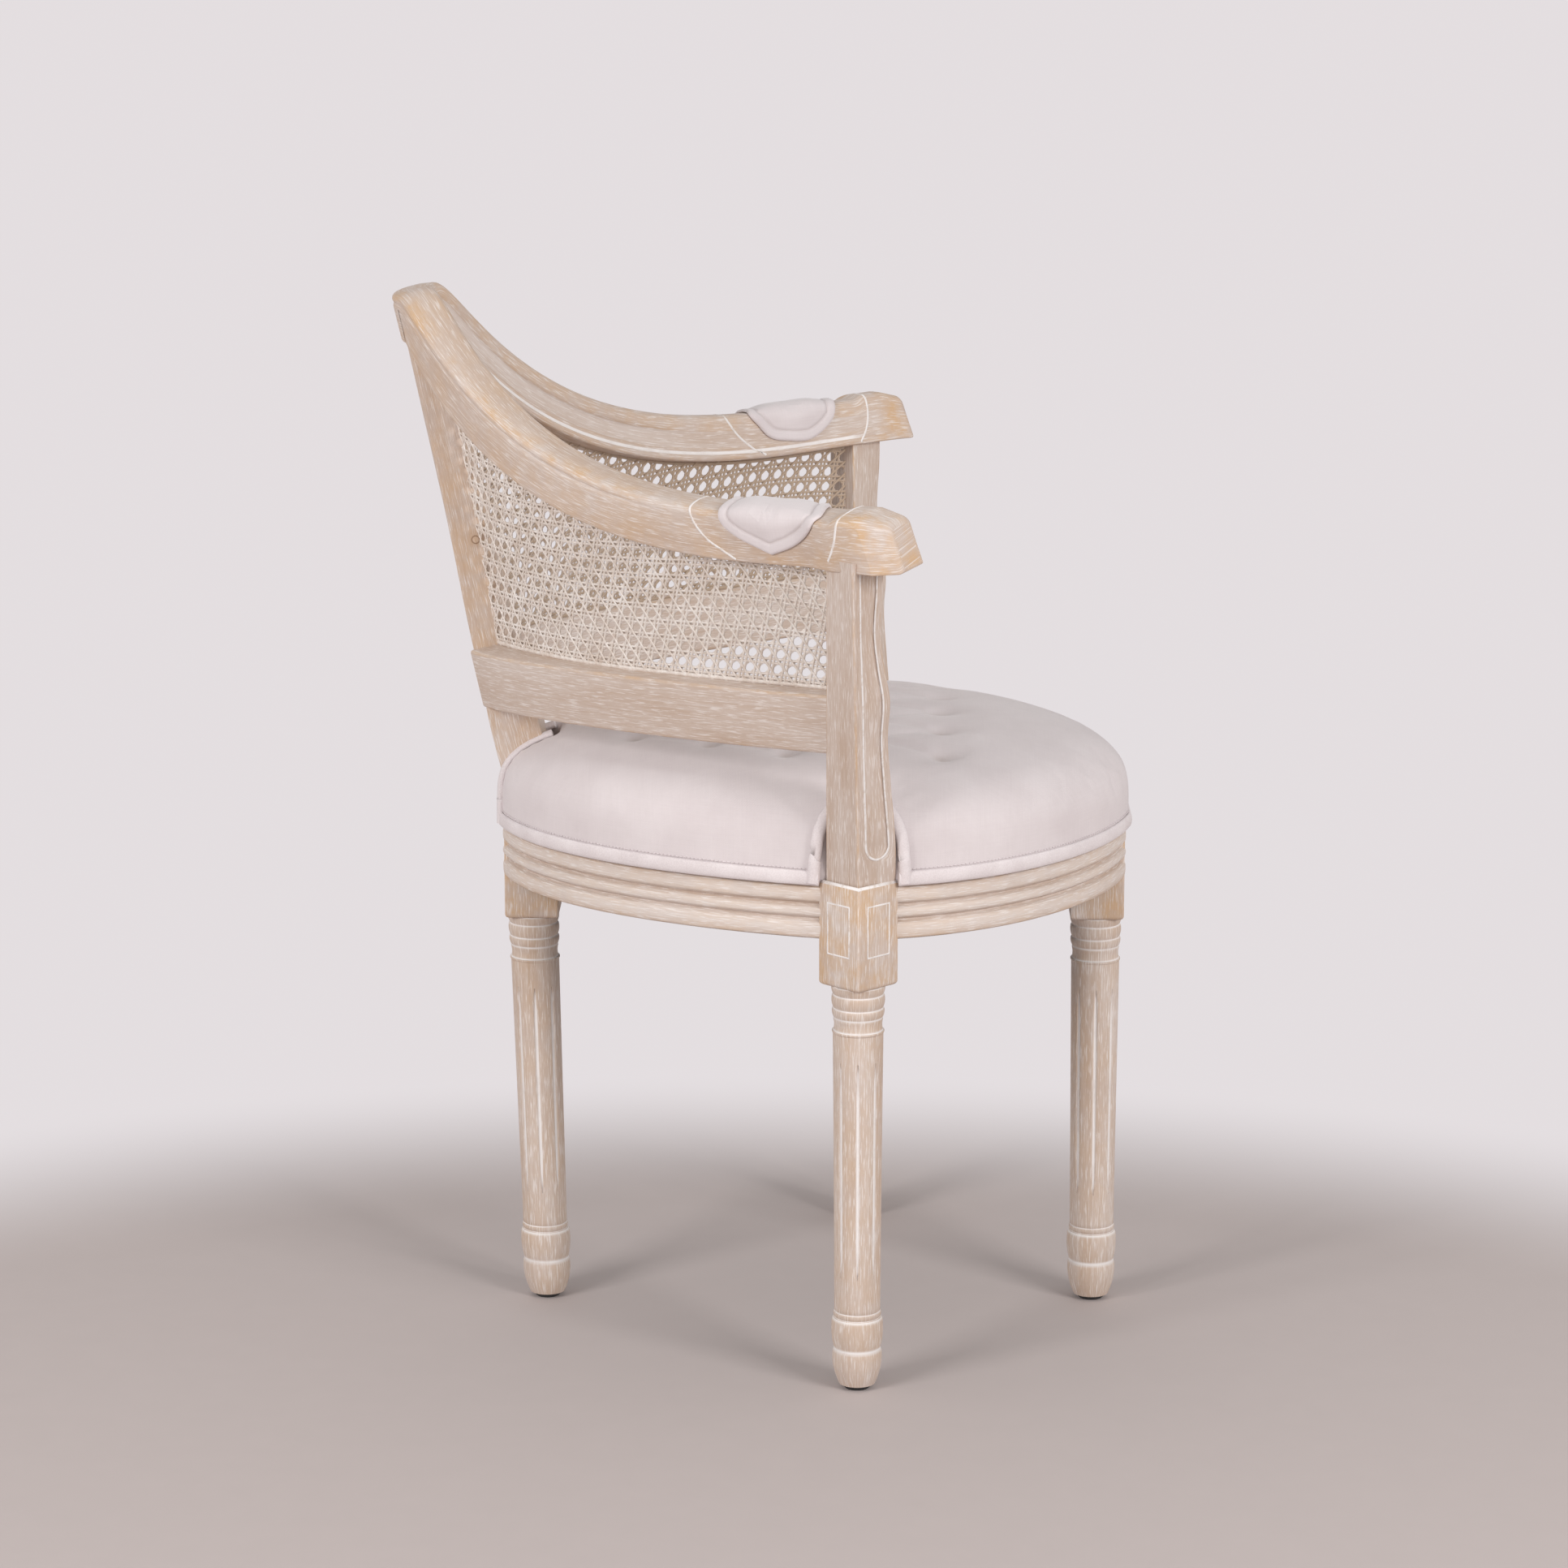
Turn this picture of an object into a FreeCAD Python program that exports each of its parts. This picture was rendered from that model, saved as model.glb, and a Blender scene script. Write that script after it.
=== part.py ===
import FreeCAD, Part
import math
import os

Vector = FreeCAD.Vector

# Corner chair with a round tufted seat, cane back and flared arms.
# Millimetres, +Z up, front towards -Y. The left half (+X) is modelled and mirrored.
# Plan sizes are measured from the seat's centre; the finished chair is moved at the end
# so that its box stands centred over the origin.

# Legs
side_leg_x = 224.0
side_leg_y = -34.0
rear_leg_y = 227.5
front_leg_y = -225.0
block_side = 43.0
block_bottom_z = 322.0
side_block_top_z = 402.5
rear_block_top_z = 437.0
rear_leg_cant = 1.5
collar_diameter = 42.0
collar_ring_drop = 7.0
collar_middle_drop = 17.5
collar_lower_drop = 25.0
neck_diameter = 37.5
neck_drop = 35.0
shaft_top_diameter = 41.0
shaft_bottom_diameter = 35.5
ankle_ring_z = 57.5
ankle_ring_height = 5.5
ankle_ring_diameter = 37.5
barrel_diameter = 40.5
barrel_groove_z = 33.0
barrel_groove_depth = 1.6
toe_diameter = 28.0
flute_count = 8
flute_bottom_z = 94.0
flute_top_z = 262.0
flute_width = 4.4
flute_depth = 1.8
panel_line_width = 1.6
panel_line_depth = 0.8
panel_margin_side = 10.0
panel_margin_top = 15.0
panel_margin_bottom = 26.0

# Glides
glide_diameter = 22.0
glide_height = 4.0
glide_nail_diameter = 3.0
glide_nail_length = 14.0

# Seat rails
rail_bottom_z = 357.5
rail_top_z = 399.0
rail_thickness = 26.0
rail_inset = 1.0
rear_rail_start_angle = -14.5
rear_rail_start_reach = 112.0
rear_rail_end_angle = -74.5
rear_rail_end_reach = 108.0
front_rail_start_angle = -104.0
front_rail_start_reach = 88.0
front_rail_end_angle = -168.0
front_rail_end_reach = 98.0
reed_groove_low = 15.0
reed_groove_high = 26.5
reed_groove_width = 4.5
reed_groove_depth = 2.6
reed_groove_slope = 1.3
reed_crown = 0.8
rail_run_in = 0.06
rail_section_count = 7

# Seat frame insides
corner_block_width = 26.0
corner_block_height = 29.0
corner_block_setback = 34.0
corner_block_half_span = 78.0
block_screw_diameter = 4.5
block_screw_length = 42.0
block_screw_head = 9.0
block_screw_offset = 30.0
deck_thickness = 12.0
deck_gap = 0.6
deck_screw_diameter = 4.0
deck_screw_length = 30.0
deck_screw_head = 8.0
dust_cover_thickness = 1.0
dust_cover_inset = 5.0

# Back frame
rear_post_width = 43.0
rear_post_foot_depth = 42.0
rear_post_head_depth = 27.5
rear_post_setback = 0.8
arm_post_back_side = 35.5
arm_post_foot_side = 39.0
arm_post_shoulder_side = 36.0
arm_post_shoulder_z = 448.0
arm_post_hollow_side = 27.4
arm_post_hollow_z = 510.0
arm_post_knee_side = 28.6
arm_post_knee_z = 546.0
arm_post_waist_side = 20.5
arm_post_waist_z = 612.0
arm_post_head_side = 21.5
arm_post_head_x = 304.0
channel_bottom_z = 428.0
channel_round = 8.0
channel_margin = 7.5
channel_depth = 1.6
back_rail_height = 48.0
back_rail_thickness = 24.0
back_rail_rear_z = 494.0
back_rail_side_z = 506.0
back_rail_lean = 13.0
back_rail_edge = 2.0
back_rail_rear_y = 262.0
back_rail_side_x = 250.0
back_rail_side_y = -10.0
back_rail_start_angle = -26.0
back_rail_start_reach = 80.0
back_rail_end_angle = -60.0
back_rail_end_reach = 110.0
back_rail_section_count = 7

# Arm bow: two rails that meet at the crest
crest_top_z = 825.5
crest_y = 317.5
arm_top_z = 692.5
arm_end_lift = 4.5
arm_end_x = 326.0
arm_end_y = -60.5
bow_rear_reach = 70.0
bow_arm_angle = -54.2
bow_arm_reach = 266.0
sweep_start = 0.15
sweep_end = 0.90
sweep_bias = 0.6
lift_start = 0.80
bow_width = 32.0
bow_height = 38.0
crest_lean = 13.0
arm_lean = 9.0
bow_bead = 6.5
bow_quirk = 1.4
bow_crown = 1.2
bow_edge = 3.5
bow_lower_edge = 1.0
bow_cove_depth = 2.6
bow_cove_top = 12.0
bow_cove_bottom = 28.0
bow_inner_bead = 6.5
bow_inner_roll = 1.6
moulding_fade = 0.60
moulding_end = 0.74
plain_share = 0.08
arm_overrun = 1.06
arm_end_slant = 11.0
bow_section_count = 17

# Cane: the sheet has a coarse grid of openings in place of its fine mesh
cane_thickness = 3.0
cane_setback = 13.0
cane_tuck = 6.0
cane_section_count = 9
cane_top_start = 0.07
cane_top_end = 0.94
cane_opening_count = 12
cane_opening_side = 16.0
cane_opening_pitch = 27.0
cane_margin = 5.0

# Upholstery
soft_gap = 0.4
cushion_side_z = 422.0
cushion_crown_z = 491.0
cushion_crown_turn = 87.0
cushion_bulge = 4.0
cushion_fullness = 3.0
cushion_level_count = 9
tuft_depth = 10.0
tuft_rim_depth = 4.0
tuft_core_radius = 8.0
tuft_radius = 24.0
tuft_spacing = 66.0
tuft_row_step = 60.0
tuft_front_y = -98.0
tuft_counts = (5, 4, 5, 4, 3)
welt_height = 12.5
welt_thickness = 4.0
pad_start = 0.80
pad_end = 0.925
pad_edge = 1.6
pad_crown = 5.0
pad_skirt = 3.0
pad_fullness = 0.5
pad_outer_drop = 27.0
pad_inner_drop = 15.0
pad_end_drop = 12.0
pad_section_count = 9

# Dowels
dowel_diameter = 8.0
dowel_length = 36.0
post_dowel_diameter = 12.0
post_dowel_length = 44.0
glue_gap = 0.08
dowel_z_offset = 10.0
crest_dowel_drop = 14.0
crest_dowel_offset = 7.0
rear_dowel_offset = 10.0
post_dowel_setback = 8.0

half_diagonal = block_side / math.sqrt(2.0)


def polar(angle, reach):
    turn = math.radians(angle)
    return Vector(math.cos(turn) * reach, math.sin(turn) * reach, 0)


def plan_curve(start, start_angle, start_reach, end, end_angle, end_reach):
    # Four control points of a cubic curve from its ends, their directions and reaches
    return (start, start + polar(start_angle, start_reach), end - polar(end_angle, end_reach), end)


def plan_point(curve, t):
    a, b, c, d = curve
    s = 1.0 - t
    return a * (s ** 3) + b * (3 * s * s * t) + c * (3 * s * t * t) + d * (t ** 3)


def plan_direction(curve, t):
    a, b, c, d = curve
    s = 1.0 - t
    slope = (b - a) * (3 * s * s) + (c - b) * (6 * s * t) + (d - c) * (3 * t * t)
    return slope.normalize()


def plan_outward(curve, t):
    direction = plan_direction(curve, t)
    return Vector(-direction.y, direction.x, 0)


def smooth_step(low, high, value):
    share = min(1.0, max(0.0, (value - low) / (high - low)))
    return share * share * (3.0 - 2.0 * share)


def steps(low, high, count):
    return [low + (high - low) * k / (count - 1) for k in range(count)]


def placed(origin, across, up, profile):
    # Corners of a cross-section, given as (across, up) pairs in its own plane
    return [origin + across * n + up * u for n, u in profile]


def closed_wire(corners):
    return Part.makePolygon(corners + [corners[0]])


def long_solid(sections):
    # Solid whose long edges are smooth curves through the matching corners of its cross-sections
    places = [k / (len(sections) - 1) for k in range(len(sections))]
    edges = []
    for corners in zip(*sections):
        curve = Part.BSplineCurve()
        curve.interpolate(Points=list(corners), Parameters=places)
        edges.append(curve.toShape())
    faces = [Part.makeRuledSurface(edges[k - 1], edges[k]) for k in range(len(edges))]
    faces += [Part.Face(closed_wire(corners)) for corners in (sections[0], sections[-1])]
    skin = Part.makeCompound(faces)
    skin.sewShape()
    solid = Part.Solid(skin.Shells[0])
    return solid if solid.Volume > 0 else solid.reversed()


def box(x_low, x_high, y_low, y_high, z_low, z_high):
    corner = Vector(x_low, y_low, z_low)
    return Part.makeBox(x_high - x_low, y_high - y_low, z_high - z_low, corner)


def rod(start, direction, diameter, length):
    return Part.makeCylinder(diameter / 2.0, length, start, direction)


def dowel(middle, direction, diameter, length):
    along = Vector(direction).normalize()
    return rod(middle - along * (length / 2.0), along, diameter, length)


def dowel_hole(middle, direction, diameter, length):
    return dowel(middle, direction, diameter + 2 * glue_gap, length + 4 * glue_gap)


def mirror(shape):
    return shape.mirror(Vector(0, 0, 0), Vector(1, 0, 0))


def largest_solid(shape):
    return max(shape.Solids, key=lambda solid: solid.Volume)


rear_rail_curve = plan_curve(
    Vector(block_side / 2.0, rear_leg_y + block_side / 2.0 - rail_inset, 0),
    rear_rail_start_angle, rear_rail_start_reach,
    Vector(side_leg_x, side_leg_y + half_diagonal, 0),
    rear_rail_end_angle, rear_rail_end_reach)

front_rail_curve = plan_curve(
    Vector(side_leg_x, side_leg_y - half_diagonal, 0),
    front_rail_start_angle, front_rail_start_reach,
    Vector(block_side / 2.0, front_leg_y - block_side / 2.0 + rail_inset, 0),
    front_rail_end_angle, front_rail_end_reach)

back_rail_curve = plan_curve(
    Vector(rear_post_width / 2.0, back_rail_rear_y, 0),
    back_rail_start_angle, back_rail_start_reach,
    Vector(back_rail_side_x, back_rail_side_y, 0),
    back_rail_end_angle, back_rail_end_reach)

bow_curve = plan_curve(
    Vector(0, crest_y, 0), 0.0, bow_rear_reach,
    Vector(arm_end_x, arm_end_y, 0), bow_arm_angle, bow_arm_reach)


# Legs and glides

def turned_leg():
    # Half outline of the turning from the toe up to the block, spun round the leg's axis
    def radius(diameter):
        return diameter / 2.0

    foot = glide_height
    groove = radius(barrel_diameter) - barrel_groove_depth
    ring_top = ankle_ring_z + ankle_ring_height
    barrel_mid = (barrel_groove_z + ankle_ring_z) / 2.0
    toe_mid = (foot + barrel_groove_z) / 2.0
    neck_z = block_bottom_z - (collar_lower_drop + neck_drop) / 2.0
    shaft_z = block_bottom_z - neck_drop
    ring_low = block_bottom_z - collar_lower_drop
    ring_mid = block_bottom_z - collar_middle_drop
    ring_high = block_bottom_z - collar_ring_drop
    points = [Vector(0, 0, foot), Vector(radius(toe_diameter), 0, foot)]
    edges = [Part.LineSegment(points[0], points[1]).toShape()]

    def line_to(r, z):
        edges.append(Part.LineSegment(points[-1], Vector(r, 0, z)).toShape())
        points.append(Vector(r, 0, z))

    def arc_to(mid_r, mid_z, r, z):
        edges.append(Part.Arc(points[-1], Vector(mid_r, 0, mid_z), Vector(r, 0, z)).toShape())
        points.append(Vector(r, 0, z))

    arc_to((radius(toe_diameter) + groove) / 2.0 + 2.2, toe_mid, groove, barrel_groove_z)
    arc_to(radius(barrel_diameter), barrel_mid, radius(ankle_ring_diameter) + 0.6, ankle_ring_z)
    line_to(radius(ankle_ring_diameter) - 0.8, ankle_ring_z)
    arc_to(radius(ankle_ring_diameter), ankle_ring_z + ankle_ring_height / 2.0,
           radius(ankle_ring_diameter) - 0.8, ring_top)
    line_to(radius(shaft_bottom_diameter), ring_top)
    line_to(radius(shaft_top_diameter) - 1.2, shaft_z - 2.4)
    arc_to(radius(shaft_top_diameter), shaft_z - 0.9, radius(shaft_top_diameter) - 0.9, shaft_z)
    arc_to(radius(neck_diameter), neck_z, radius(neck_diameter) + 0.7, ring_low)
    arc_to(radius(collar_diameter) - 0.8, (ring_low + ring_mid) / 2.0,
           radius(collar_diameter) - 1.3, ring_mid)
    arc_to(radius(collar_diameter) - 0.2, (ring_mid + ring_high) / 2.0,
           radius(collar_diameter) - 1.2, ring_high)
    arc_to(radius(collar_diameter), (ring_high + block_bottom_z) / 2.0,
           radius(collar_diameter) - 0.5, block_bottom_z)
    line_to(0, block_bottom_z)
    line_to(0, foot)
    profile = Part.Face(Part.Wire(edges))
    leg = profile.revolve(Vector(0, 0, 0), Vector(0, 0, 1), 360)
    return leg.cut(flute_cutters())


def flute_cutters():
    # Stopped flutes: slim V cuts, widest in the middle and pointed at both ends
    ring_top = ankle_ring_z + ankle_ring_height
    shaft_z = block_bottom_z - neck_drop
    taper = (shaft_top_diameter - shaft_bottom_diameter) / 2.0 / (shaft_z - ring_top)
    middle_z = (flute_bottom_z + flute_top_z) / 2.0
    wires = []
    for z, share in ((flute_bottom_z, 0.02), (middle_z, 1.0), (flute_top_z, 0.02)):
        r = shaft_bottom_diameter / 2.0 + (z - ring_top) * taper
        half = flute_width / 2.0 * share
        bottom = Vector(r - flute_depth * share, 0, z)
        mouth = [Vector(r + flute_depth, half * 2, z), Vector(r + flute_depth, -half * 2, z)]
        wires.append(closed_wire([bottom] + mouth))
    cutter = Part.makeLoft(wires, True, True)
    copies = []
    for k in range(flute_count):
        copy = cutter.copy()
        copy.rotate(Vector(0, 0, 0), Vector(0, 0, 1), 360.0 * k / flute_count)
        copies.append(copy)
    return copies


def block(top_z):
    half = block_side / 2.0
    return box(-half, half, -half, half, block_bottom_z, top_z)


def panel_lines(top_z):
    # Incised rectangle on each of the block's four faces
    half = block_side / 2.0
    low = block_bottom_z + panel_margin_bottom
    high = top_z - panel_margin_top
    wide = half - panel_margin_side
    outer = box(half - panel_line_depth, half + 1.0, -wide, wide, low, high)
    line = panel_line_width
    inner = box(half - 2.0, half + 2.0, -wide + line, wide - line, low + line, high - line)
    frame = outer.cut(inner)
    copies = []
    for k in range(4):
        copy = frame.copy()
        copy.rotate(Vector(0, 0, 0), Vector(0, 0, 1), 90.0 * k)
        copies.append(copy)
    return copies


def nail_hole():
    length = glide_height + glide_nail_length + 4 * glue_gap
    return rod(Vector(0, 0, 0), Vector(0, 0, 1), glide_nail_diameter + 2 * glue_gap, length)


def side_leg():
    leg = turned_leg().fuse(block(side_block_top_z)).cut(panel_lines(side_block_top_z))
    leg = leg.cut(nail_hole())
    leg.rotate(Vector(0, 0, 0), Vector(0, 0, 1), 45)
    leg.translate(Vector(side_leg_x, side_leg_y, 0))
    return leg


def front_leg():
    leg = turned_leg().fuse(block(rail_top_z)).cut(nail_hole())
    leg.translate(Vector(0, front_leg_y, 0))
    return leg


def rear_toe_y():
    return rear_leg_y - math.tan(math.radians(rear_leg_cant)) * block_bottom_z


def rear_leg():
    # The turning leans forward a little towards its toe, which is cut level with the others
    turning = turned_leg()
    turning.rotate(Vector(0, 0, block_bottom_z), Vector(1, 0, 0), -rear_leg_cant)
    reach = barrel_diameter
    below = box(-reach, reach, -reach, reach, -glide_height, glide_height)
    leg = turning.cut(below)
    leg.translate(Vector(0, rear_leg_y, 0))
    head = block(rear_block_top_z)
    head.translate(Vector(0, rear_leg_y, 0))
    hole = nail_hole()
    hole.translate(Vector(0, rear_toe_y(), 0))
    return leg.fuse(head).cut(hole)


def glide():
    # Domed-edge disc on a nail
    radius = glide_diameter / 2.0
    half = glide_height / 2.0
    disc = Part.makeCone(radius - half, radius, half)
    disc = disc.fuse(rod(Vector(0, 0, half), Vector(0, 0, 1), glide_diameter, half))
    nail = rod(Vector(0, 0, half), Vector(0, 0, 1), glide_nail_diameter, half + glide_nail_length)
    return disc.fuse(nail).removeSplitter()


# Seat frame

def rail_profile():
    # Reeded face: a plain lower band, a middle reed and an upper band between two grooves
    height = rail_top_z - rail_bottom_z
    half = reed_groove_width / 2.0
    floor = half - reed_groove_slope
    profile = [(-rail_thickness, 0), (0, 0)]
    for middle in (reed_groove_low, reed_groove_high):
        profile += [(0, middle - half), (-reed_groove_depth, middle - floor),
                    (-reed_groove_depth, middle + floor), (0, middle + half)]
        if middle == reed_groove_low:
            profile.append((reed_crown, (reed_groove_low + reed_groove_high) / 2.0))
    return profile + [(0, height), (-rail_thickness, height)]


def seat_rail(curve):
    sections = []
    for t in steps(-rail_run_in, 1.0 + rail_run_in, rail_section_count):
        origin = plan_point(curve, t) + Vector(0, 0, rail_bottom_z)
        sections.append(placed(origin, plan_outward(curve, t), Vector(0, 0, 1), rail_profile()))
    return long_solid(sections)


def side_block_room(gap):
    # Space over a side leg's block, grown by a gap, that reaches past the cushion
    half = block_side / 2.0 + gap
    room = box(-half, half, -half, half, block_bottom_z, cushion_crown_z + block_side)
    room.rotate(Vector(0, 0, 0), Vector(0, 0, 1), 45)
    room.translate(Vector(side_leg_x, side_leg_y, 0))
    return room


def centre_block_room(y_low, y_high, gap):
    half = block_side / 2.0 + gap
    return box(-half, half, y_low, y_high, block_bottom_z, cushion_crown_z + block_side)


def rear_seat_rail():
    far = rear_leg_y + 2 * block_side
    rail = seat_rail(rear_rail_curve).cut(side_block_room(0))
    return largest_solid(rail.cut(centre_block_room(rear_leg_y - 2 * block_side, far, 0)))


def front_seat_rail():
    far = front_leg_y - 2 * block_side
    rail = seat_rail(front_rail_curve).cut(side_block_room(0))
    return largest_solid(rail.cut(centre_block_room(far, front_leg_y + 2 * block_side, 0)))


def seat_outline(inset, scale):
    # Closed plan of the seat: the four rail curves, joined straight across the legs
    def spline(curve, turn):
        points = []
        for t in steps(0.0, 1.0, 7):
            point = plan_point(curve, t) - plan_outward(curve, t) * inset
            points.append(Vector(point.x * scale * turn, point.y * scale, 0))
        return points

    runs = [spline(rear_rail_curve, 1), spline(front_rail_curve, 1),
            spline(front_rail_curve, -1)[::-1], spline(rear_rail_curve, -1)[::-1]]
    edges = []
    for k, run in enumerate(runs):
        curve = Part.BSplineCurve()
        curve.interpolate(run)
        edges.append(curve.toShape())
        edges.append(Part.LineSegment(run[-1], runs[(k + 1) % 4][0]).toShape())
    return Part.Wire(edges)


def seat_sheet(inset, low_z, thickness):
    # Flat board inside the seat's plan, notched round the four leg blocks
    sheet = Part.Face(seat_outline(inset, 1.0)).extrude(Vector(0, 0, thickness))
    sheet.translate(Vector(0, 0, low_z))
    half = block_side / 2.0 + deck_gap
    left = side_block_room(deck_gap)
    rear = centre_block_room(rear_leg_y - half, rear_leg_y + block_side, deck_gap)
    front = centre_block_room(front_leg_y - block_side, front_leg_y + half, deck_gap)
    return largest_solid(sheet.cut([left, mirror(left), rear, front]))


def seat_deck():
    deck = seat_sheet(rail_thickness + deck_gap, rail_top_z - deck_thickness, deck_thickness)
    return deck.cut([hole for place in deck_screw_places() for hole in deck_screw_hole(place)])


def dust_cover():
    return seat_sheet(dust_cover_inset, rail_bottom_z - dust_cover_thickness, dust_cover_thickness)


def corner_block_frames():
    # Each corner block's middle and the direction from it to the seat's centre
    side = Vector(side_leg_x - corner_block_setback, side_leg_y, 0)
    rear = Vector(0, rear_leg_y - corner_block_setback, 0)
    front = Vector(0, front_leg_y + corner_block_setback, 0)
    return {
        "left_corner_block": (side, Vector(-1, 0, 0)),
        "right_corner_block": (Vector(-side.x, side.y, 0), Vector(1, 0, 0)),
        "rear_corner_block": (rear, Vector(0, -1, 0)),
        "front_corner_block": (front, Vector(0, 1, 0)),
    }


def corner_block_z():
    return rail_top_z - deck_thickness - corner_block_height


def corner_block(middle, inward, rails, legs):
    across = Vector(-inward.y, inward.x, 0)
    half = corner_block_half_span
    corners = [middle + across * half, middle + across * half + inward * corner_block_width,
               middle - across * half + inward * corner_block_width, middle - across * half]
    face = Part.Face(closed_wire(corners))
    bar = face.extrude(Vector(0, 0, corner_block_height))
    bar.translate(Vector(0, 0, corner_block_z()))
    return largest_solid(bar.cut(rails + legs))


def block_screw_lines():
    # Head place and direction of the two screws in each corner block, driven into the rails
    lines = []
    for middle, inward in corner_block_frames().values():
        across = Vector(-inward.y, inward.x, 0)
        for side in (1, -1):
            head = middle + inward * corner_block_width + across * (side * block_screw_offset)
            head = head + Vector(0, 0, corner_block_z() + corner_block_height / 2.0)
            lines.append((head, across * (side * 0.8) - inward * 0.6))
    return lines


def countersunk(head, direction, diameter, head_diameter, length):
    along = Vector(direction).normalize()
    shank = rod(head, along, diameter, length)
    cone = Part.makeCone(head_diameter / 2.0, diameter / 2.0, head_diameter / 2.5, head, along)
    return shank.fuse(cone)


def block_screw(line):
    sunk = line[0] + line[1] * block_screw_head
    return countersunk(sunk, line[1], block_screw_diameter, block_screw_head, block_screw_length)


def block_screw_hole(line):
    grow = 2 * glue_gap
    along = Vector(line[1]).normalize()
    sunk = line[0] + line[1] * block_screw_head
    head = block_screw_head + grow
    pilot = countersunk(sunk, along, block_screw_diameter + grow, head, block_screw_length + grow)
    return [pilot, rod(sunk - along * block_screw_length, along, head, block_screw_length)]


def deck_screw_places():
    places = []
    for middle, inward in corner_block_frames().values():
        places.append(middle + inward * (corner_block_width / 2.0) + Vector(0, 0, rail_top_z))
    return places


def deck_screw(place):
    return countersunk(place, Vector(0, 0, -1), deck_screw_diameter, deck_screw_head, deck_screw_length)


def deck_screw_hole(place):
    grow = 2 * glue_gap
    return [countersunk(place, Vector(0, 0, -1), deck_screw_diameter + grow, deck_screw_head + grow,
                        deck_screw_length + grow)]


# Back frame

def rear_post_line():
    # Back edge of the post's middle, from the rear leg's block up to the arm bow's underside
    across, up = bow_axes(0.0)
    foot = Vector(0, rear_leg_y + block_side / 2.0, rear_block_top_z)
    head = bow_place(0.0) + across * (bow_width / 2.0 - bow_lower_edge - rear_post_setback)
    return foot, head - up * (bow_height + glue_gap)


def rear_post():
    # Raked board that thins towards the crest, where its end follows the curve of the arm bow
    across, up = bow_axes(0.0)
    foot, head = rear_post_line()
    half = Vector(rear_post_width / 2.0, 0, 0)
    fall = crest_y - bow_place(rear_post_width / 6.0 / bow_rear_reach).y
    tilt = math.tan(math.radians(crest_lean))
    foot_front = foot - Vector(0, rear_post_foot_depth, 0)
    corner = head - Vector(0, fall, 0)
    front = head - across * (rear_post_head_depth / across.y)
    rise = (front - foot_front) * (1.0 / (front.z - foot_front.z))
    slide = rise * (fall * tilt / (1.0 + rise.y * tilt))
    wires = [closed_wire([foot, foot + half, foot_front + half, foot_front]),
             closed_wire([head, corner + half, front - slide + half, front])]
    left = Part.makeLoft(wires, True, True)
    return left.fuse(mirror(left)).removeSplitter()


def rear_post_middle(z):
    foot, head = rear_post_line()
    back = foot + (head - foot) * ((z - foot.z) / (head.z - foot.z))
    return back - Vector(0, rear_post_head_depth / 2.0, 0)


def rear_post_axis():
    foot, head = rear_post_line()
    return (head - foot).normalize()


def arm_post_axis():
    return Vector(arm_post_head_x - side_leg_x, 0, arm_top_z - bow_height - side_block_top_z)


def arm_post_middle(z):
    axis = arm_post_axis()
    return Vector(side_leg_x, side_leg_y, side_block_top_z) + axis * ((z - side_block_top_z) / axis.z)


def arm_post_stations():
    # Height and front side of the post, from its foot to its head inside the arm
    head_z = arm_top_z - bow_height / 2.0
    return (
        (side_block_top_z, arm_post_foot_side), (arm_post_shoulder_z, arm_post_shoulder_side),
        (arm_post_hollow_z, arm_post_hollow_side), (arm_post_knee_z, arm_post_knee_side),
        (arm_post_waist_z, arm_post_waist_side), (head_z, arm_post_head_side),
    )


def arm_post(gap):
    # Square post set corner outwards, with a serpentine front corner
    sections = []
    for z, side in arm_post_stations():
        front = (side + 2 * gap) / math.sqrt(2.0)
        rear = (arm_post_back_side + 2 * gap) / math.sqrt(2.0)
        middle = arm_post_middle(z)
        sections.append([middle + Vector(rear, 0, 0), middle + Vector(0, rear, 0),
                         middle - Vector(rear, 0, 0), middle - Vector(0, front, 0)])
    return long_solid(sections)


def arm_post_channel():
    # Shallow channel that follows the post's front outer face and narrows to a rounded lower end
    stations = [(channel_bottom_z + channel_round * share, arm_post_foot_side, math.sqrt(share))
                for share in (0.1, 0.4, 1.0)]
    stations += [(z, side, 1.0) for z, side in arm_post_stations()[1:]]
    sections = []
    for z, side, open_share in stations:
        outer = arm_post_middle(z) + Vector(arm_post_back_side / math.sqrt(2.0), 0, 0)
        front = arm_post_middle(z) - Vector(0, side / math.sqrt(2.0), 0)
        along = (front - outer).normalize()
        facing = Vector(-along.y, along.x, 0)
        middle = (outer + front) / 2.0
        half = along * (((front - outer).Length / 2.0 - channel_margin) * open_share)
        deep = facing * channel_depth
        sections.append([middle - half - deep, middle + half - deep,
                         middle + half + deep, middle - half + deep])
    return long_solid(sections)


def back_rail_z(t):
    return back_rail_rear_z + (back_rail_side_z - back_rail_rear_z) * t


def leaning_axes(curve, t, lean, slope):
    # Section axes square to the curve: up leans outwards, slope is the curve's rise over run
    turn = math.radians(lean)
    outward = plan_outward(curve, t)
    run = plan_direction(curve, t)
    along = Vector(run.x, run.y, slope).normalize()
    up = outward * math.sin(turn) + Vector(0, 0, math.cos(turn))
    up = (up - along * up.dot(along)).normalize()
    return up.cross(along).normalize(), up


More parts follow.
